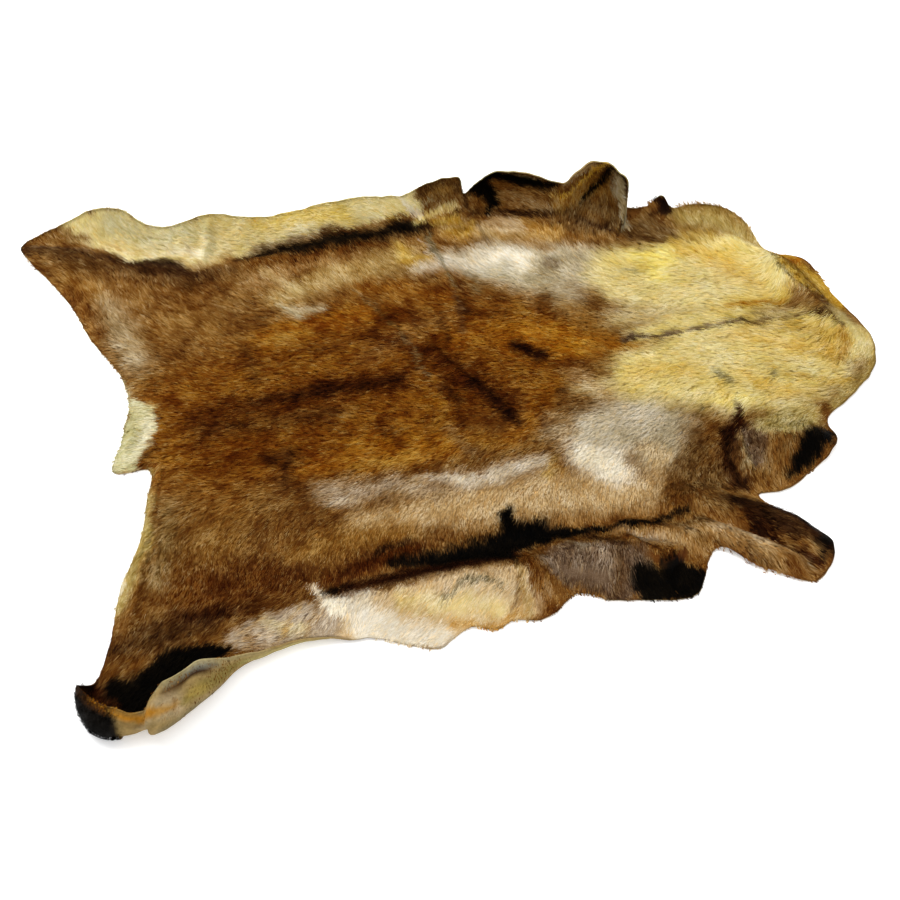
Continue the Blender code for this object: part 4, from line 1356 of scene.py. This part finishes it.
@dataclass
class Strands:
    """All the hair: tufts of flat strands that lie over one another."""

    skin: Skin
    strands: int = 396000
    in_tuft: int = 6
    length: float = 0.0135
    neck_length: float = 0.0185
    neck_start: float = 0.22
    neck_full: float = 0.42
    shortest: float = 0.003
    longest: float = 0.034
    rim_share: float = 0.50  # of the length, at the rim
    rim_reach: float = 0.035
    curl_loss: float = 0.80  # of the length, on the near side's curls
    curl_reach: float = 0.040
    length_spread: float = 0.12
    strand_spread: float = 0.15
    width: float = 0.00088
    tuft: float = 0.0019
    stretch: float = 1.5  # of the tuft, along the hair
    tuft_swing: float = 0.11  # radians
    strand_swing: float = 0.08  # radians
    gather: float = 0.45  # how far the tuft's strands come together at the tip
    least_outward: float = 0.05
    roll: float = 0.30
    widths: tuple = (0.75, 0.5)  # of a drawn share: the least, and the range above it
    middles: tuple = (0.42, 0.08)
    middle_heights: tuple = (0.64, 0.13)
    tip_heights: tuple = (0.74, 0.24)
    base_share: float = 0.15
    lowest: tuple = (0.0004, 0.0008, 0.0008, 0.0005)  # above the floor, for a strand's four points
    read_share: float = 0.55  # of the length: where the strand's colour is read
    read_spread: tuple = ((0.003,), (0.0016,))  # ahead and aside
    dust: float = 0.16
    pale_power: float = -0.19
    dark_power: float = 0.24
    tuft_power: float = 0.11
    strand_power: float = 0.10
    warmth: float = 0.024
    hoof_end: float = -0.612  # the near hoof's outside has hair up to this X
    hoof_side: float = -0.4
    hoof_past: float = 0.01
    hoof_pile: float = 0.4  # of the usual depth
    hoof_share: float = 0.8  # of the tufts there, and of their length
    seed: int = 11
    zones: tuple = ("hair_rump", "hair_loin", "hair_withers", "hair_neck")

    def build(self, finish: Material) -> list[Piece]:
        """Makes the strands and dresses them.

        Args:
            finish: the strands' material.

        Returns:
            The pieces, from the rump to the neck.
        """
        chance = np.random.default_rng(self.seed)
        roots = self.plant(chance)
        order = np.argsort(roots.place[:, 0], kind="stable")
        pieces = []
        for zone, members in zip(self.zones, np.array_split(order, len(self.zones))):
            many = roots.picked(np.repeat(members, self.in_tuft))
            pieces.append(self.one_zone(zone, many, chance, finish))
        return pieces

    def plant(self, chance: np.random.Generator) -> Roots:
        """Spreads the tufts evenly over the skin.

        Args:
            chance: the source of chance.

        Returns:
            The tufts' roots.
        """
        skin = self.skin
        tufts = self.strands // self.in_tuft
        area = np.linalg.norm(crosses(skin.points, skin.triangles), axis=-1)
        reached = np.cumsum(area) / area.sum()
        picked = np.searchsorted(reached, (np.arange(tufts) + chance.random(tufts)) / tufts)
        picked = np.minimum(picked, len(area) - 1)
        a, b = np.sqrt(chance.random(tufts)), chance.random(tufts)
        share = np.stack([1 - a, a * (1 - b), a * b], axis=-1)

        def at(values: np.ndarray) -> np.ndarray:
            """A value of the skin's points, read at the tufts."""
            return np.einsum("ij,ij...->i...", share, values[skin.triangles[picked]])

        place, from_rim, past = at(skin.base), at(skin.from_rim), at(skin.past)
        x, y = place[:, 0], place[:, 1]
        outside = (x < self.hoof_end) & (y < self.hoof_side) & (past > self.hoof_past)
        outside &= chance.random(tufts) < self.hoof_share
        length = self.length + (self.neck_length - self.length) * steady(self.neck_start, self.neck_full, x)
        inland = steady(0.0, self.rim_reach, from_rim)
        length = length * (self.rim_share + (1 - self.rim_share) * inland)
        length = length * (1 + self.length_spread * chance.standard_normal(tufts))
        length = length * (1 - self.curl_loss * steady(0.0, self.curl_reach, past) * (y < 0))
        return Roots(
            place=place,
            heading=unit(at(skin.heading)),
            past=past,
            radius=at(skin.radius),
            from_rim=from_rim,
            side=np.where(outside, -1.0, 1.0),
            angle=tip_direction(x, y) + self.tuft_swing * chance.standard_normal(tufts),
            length=np.where(outside, self.hoof_share * length, length),
            kind=chance.random(tufts),
            tone=chance.standard_normal(tufts),
            hue=chance.standard_normal(tufts),
        )

    def above(
        self, roots: Roots, step_x: np.ndarray, step_y: np.ndarray, share: np.ndarray, lift: np.ndarray
    ) -> np.ndarray:
        """The places above the skin, these steps from the roots.

        Args:
            roots: the hairs' roots.
            step_x: the way along the skin's own X.
            step_y: the way along the skin's own Y.
            share: the height there, as a share of the coat's depth.
            lift: what is added to that height.

        Returns:
            One place for each hair.
        """
        head_x, head_y = roots.heading[:, 0], roots.heading[:, 1]
        ahead = step_x * head_x + step_y * head_y
        aside = step_y * head_x - step_x * head_y
        then = roots.past + ahead
        turn_then = np.maximum(then, 0) / roots.radius
        turn_root = np.maximum(roots.past, 0) / roots.radius
        reach = np.minimum(then, 0) - np.minimum(roots.past, 0)
        reach = reach + roots.radius * (np.sin(turn_then) - np.sin(turn_root))
        x = roots.place[:, 0] + head_x * reach - head_y * aside
        y = roots.place[:, 1] + head_y * reach + head_x * aside
        from_rim = np.maximum(roots.from_rim - ahead, 0)
        z = roots.place[:, 2] + roots.radius * (np.cos(turn_root) - np.cos(turn_then))
        z = z + self.skin.rise(x, y, from_rim)
        height = share * self.skin.depth(x, y, from_rim) + lift
        height = np.where(roots.side > 0, self.skin.thickness + height, -self.hoof_pile * height)
        height = height + self.skin.dented(x, y, from_rim)
        height = height - self.skin.dented(roots.place[:, 0], roots.place[:, 1], roots.from_rim)
        x = x - head_x * np.sin(turn_then) * height
        y = y - head_y * np.sin(turn_then) * height
        return np.stack([x, y, z + np.cos(turn_then) * height], axis=-1)

    def one_zone(self, zone: str, roots: Roots, chance: np.random.Generator, finish: Material) -> Piece:
        """Makes the strands of one zone.

        Args:
            zone: the piece's name.
            roots: the tufts' roots, once for each strand.
            chance: the source of chance.
            finish: the strands' material.

        Returns:
            The piece.
        """
        count = len(roots.side)
        across = chance.standard_normal(count) * self.tuft
        back = chance.standard_normal(count) * self.tuft * self.stretch
        turned = roots.angle + self.strand_swing * chance.standard_normal(count)
        cos, sin = np.cos(roots.angle), np.sin(roots.angle)
        step_x, step_y = back * cos - across * sin, back * sin + across * cos
        over = step_x * roots.heading[:, 0] + step_y * roots.heading[:, 1] - roots.from_rim
        step_x = step_x - np.maximum(over, 0) * roots.heading[:, 0]
        step_y = step_y - np.maximum(over, 0) * roots.heading[:, 1]
        way_x, way_y = np.cos(turned), np.sin(turned)
        long = roots.length * (1 + self.strand_spread * chance.standard_normal(count))
        outward = way_x * roots.heading[:, 0] + way_y * roots.heading[:, 1]
        outward = np.maximum(outward, self.least_outward)
        room = np.maximum(roots.from_rim - np.maximum(roots.from_rim + over, 0), 0)
        room = room + self.overhang(roots.place)
        long = np.clip(np.minimum(long, room / outward), self.shortest, self.longest)
        pinch = -self.gather * across / long
        half = 0.5 * self.width * drawn(chance, count, *self.widths)
        roll = self.roll * half * chance.standard_normal(count)
        middle = long * drawn(chance, count, *self.middles)
        mid_share = drawn(chance, count, *self.middle_heights)
        tip_share = drawn(chance, count, *self.tip_heights)

        def placed(ahead: np.ndarray, aside: np.ndarray, share: np.ndarray, lift: np.ndarray) -> np.ndarray:
            """The place this far along the strand, this far aside and this high."""
            along_x = step_x + ahead * way_x - aside * way_y
            along_y = step_y + ahead * way_y + aside * way_x
            return self.above(roots, along_x, along_y, share, lift)

        still = np.zeros(count)
        root = placed(still, still, np.full(count, self.base_share), still)
        points = np.stack(
            [
                root,
                placed(middle, pinch * middle - half, mid_share, -roll),
                placed(middle, pinch * middle + half, mid_share, roll),
                placed(long, pinch * long, tip_share, still),
            ],
            axis=1,
        )
        points = points - self.skin.centre
        points[..., 2] = np.maximum(points[..., 2], self.lowest)
        first = 4 * np.arange(count)[:, None]
        triangles = np.concatenate([first + [0, 1, 2], first + [1, 3, 2]], axis=1).reshape(-1, 3)
        piece = mesh_of(zone, points.reshape(-1, 3), triangles)
        give_colours(piece, np.repeat(self.colours(roots, root, long, chance), 4, axis=0))
        strand = piece.data.attributes.new("strand", "FLOAT", "POINT")
        strand.data.foreach_set("value", np.tile(np.array([0.0, 0.5, 0.5, 1.0], np.float32), count))
        give_map(piece, self.cells(count)[triangles.ravel()])
        piece.data.materials.append(finish)
        return piece

    @staticmethod
    def overhang(place: np.ndarray) -> np.ndarray:
        """How far the hair may hang over the rim: a little, and more at the mane and the neck's lobe."""
        x, y = place[:, 0], place[:, 1]
        far = np.full(len(x), LEAST_OVERHANG)
        for middle_x, middle_y, wide_x, wide_y, more in OVERHANGS:
            far = far + more * np.exp(-(((x - middle_x) / wide_x) ** 2) - ((y - middle_y) / wide_y) ** 2)
        return far

    def colours(
        self, roots: Roots, root: np.ndarray, long: np.ndarray, chance: np.random.Generator
    ) -> np.ndarray:
        """Each strand's colour, as light: the painted coat, with tufts, single hairs and blotches.

        Args:
            roots: the tufts' roots, once for each strand.
            root: where each strand stands.
            long: each strand's length.
            chance: the source of chance.

        Returns:
            One colour for each strand.
        """
        count = len(roots.side)
        cos, sin = np.cos(roots.angle), np.sin(roots.angle)
        ahead, aside = chance.standard_normal((2, count)) * self.read_spread
        ahead = ahead + self.read_share * long
        x = root[:, 0] + ahead * cos - aside * sin
        y = root[:, 1] + ahead * sin + aside * cos
        head_x, head_y = roots.heading[:, 0], roots.heading[:, 1]
        from_rim = roots.from_rim - ahead * (cos * head_x + sin * head_y)
        wall_x = root[:, 0] - head_y * (ahead * (sin * head_x - cos * head_y) + aside)
        x, y = wandered(x, y)
        colour = coat_colour(x, y, wall_x, from_rim)
        outside = roots.side < 0
        colour[outside] = flesh_colour(root[outside, 0], root[outside, 1], roots.from_rim[outside])
        lively = steady(*LIVELY, colour.max(axis=1))
        pale, dark = roots.kind < PALE_BELOW, roots.kind > DARK_ABOVE
        dusty = self.dust * lively * pale
        colour += dusty[:, None] * (Shade.DUST.screen - colour)
        kind = np.where(pale, self.pale_power, np.where(dark, self.dark_power, 0.0))
        swing = kind + clouded(x, y, BLOTCHES) + self.tuft_power * roots.tone
        swing = swing + self.strand_power * chance.standard_normal(count)
        swing = np.where(swing < 0, swing * (0.3 + 0.7 * lively), swing)
        colour = colour ** np.exp(swing)[:, None]
        warm = self.warmth * np.abs(roots.hue)[:, None] * np.array([1.0, 0.0, -2.0])
        return linear(colour * (1 + warm))

    @staticmethod
    def cells(count: int) -> np.ndarray:
        """A cell of the flat map for each strand: where its four points lie in it."""
        side = math.ceil(math.sqrt(count))
        number = np.arange(count)
        corner = np.stack([number % side, number // side], axis=-1) / side
        return (corner[:, None] + np.array(CELL) / side).reshape(-1, 2)


class Light(NamedTuple):
    """A soft square light that points at the hide."""

    name: str
    place: tuple
    size: float
    power: float  # watts

    def hang(self) -> None:
        """Makes the light."""
        lamp = bpy.data.lights.new(self.name, "AREA")
        lamp.size = self.size
        lamp.energy = self.power
        aim_from(bpy.data.objects.new(self.name, lamp), Vector(self.place), -Vector(self.place))


def aim_from(made: Piece, place: Vector, forward: Vector) -> None:
    """Puts the light or camera in the scene, at this place and looking this way."""
    made.location = place
    made.rotation_euler = forward.to_track_quat("-Z", "Y").to_euler()
    bpy.context.scene.collection.objects.link(made)


@dataclass
class Studio:
    """The floor, the lights and the camera."""

    aim: tuple = (-0.0661, -0.1456, 0.0)
    turn: float = 15.0
    elevation: float = 48.0
    distance: float = 2.17
    lens: float = 55.0
    film: float = 36.0
    floor_size: float = 14.0
    floor_gap: float = 0.0006  # below the hide
    sky: float = 0.70
    lights: tuple = (
        Light("key", (-1.6, 1.0, 3.2), 2.2, 92.0),
        Light("fill", (1.8, -2.6, 2.6), 3.0, 30.0),
        Light("top", (0.0, 0.3, 4.0), 3.5, 50.0),
    )

    def build(self) -> None:
        """Makes everything that isn't the hide."""
        bpy.ops.object.select_all(action="DESELECT")
        bpy.ops.mesh.primitive_plane_add(size=self.floor_size, location=(0, 0, -self.floor_gap))
        floor = bpy.context.object
        floor.name = "floor"
        floor.data.materials.append(FloorFinish().material())
        for light in self.lights:
            light.hang()
        world = bpy.data.worlds.new("studio")
        bpy.context.scene.world = world
        world.use_nodes = True
        background = world.node_tree.nodes["Background"]
        Nodes(world.node_tree).fill(background, {"Color": WHITE, "Strength": self.sky})
        bpy.context.scene.view_settings.view_transform = "Standard"
        self.camera()

    def camera(self) -> None:
        """The camera at the photograph's angle."""
        turn, elevation = math.radians(self.turn), math.radians(self.elevation)
        level = math.cos(elevation)
        forward = Vector((math.sin(turn) * level, math.cos(turn) * level, -math.sin(elevation)))
        data = bpy.data.cameras.new("camera")
        data.lens = self.lens
        data.sensor_width = self.film
        made = bpy.data.objects.new("camera", data)
        aim_from(made, Vector(self.aim) - forward * self.distance, forward)
        bpy.context.scene.camera = made


def main() -> None:
    """Builds the studio, the pelt and the hair, and reports each piece."""
    Studio().build()
    skin = Skin()
    spans = np.ptp(skin.unrolled, axis=0)
    flat = np.c_[skin.unrolled, np.zeros(len(skin.unrolled))]
    area = np.linalg.norm(crosses(flat, skin.triangles), axis=-1).sum() / 2
    log.info("skin: %d triangles, flat %.3f by %.3f m, %.3f m2", len(skin.triangles), *spans, area)
    mottle, grain = mottle_group(), grain_group()
    pelt = Pelt(skin).build(UnderCoatFinish().material(mottle), FleshFinish().material(grain))
    hair = Strands(skin).build(HairFinish().material(mottle))
    for piece in (pelt, *hair):
        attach(piece, BODY)
        log.info("%s: %d triangles", piece.name, len(piece.data.polygons))
    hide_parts(NODE)


if __name__ == "__main__":
    main()
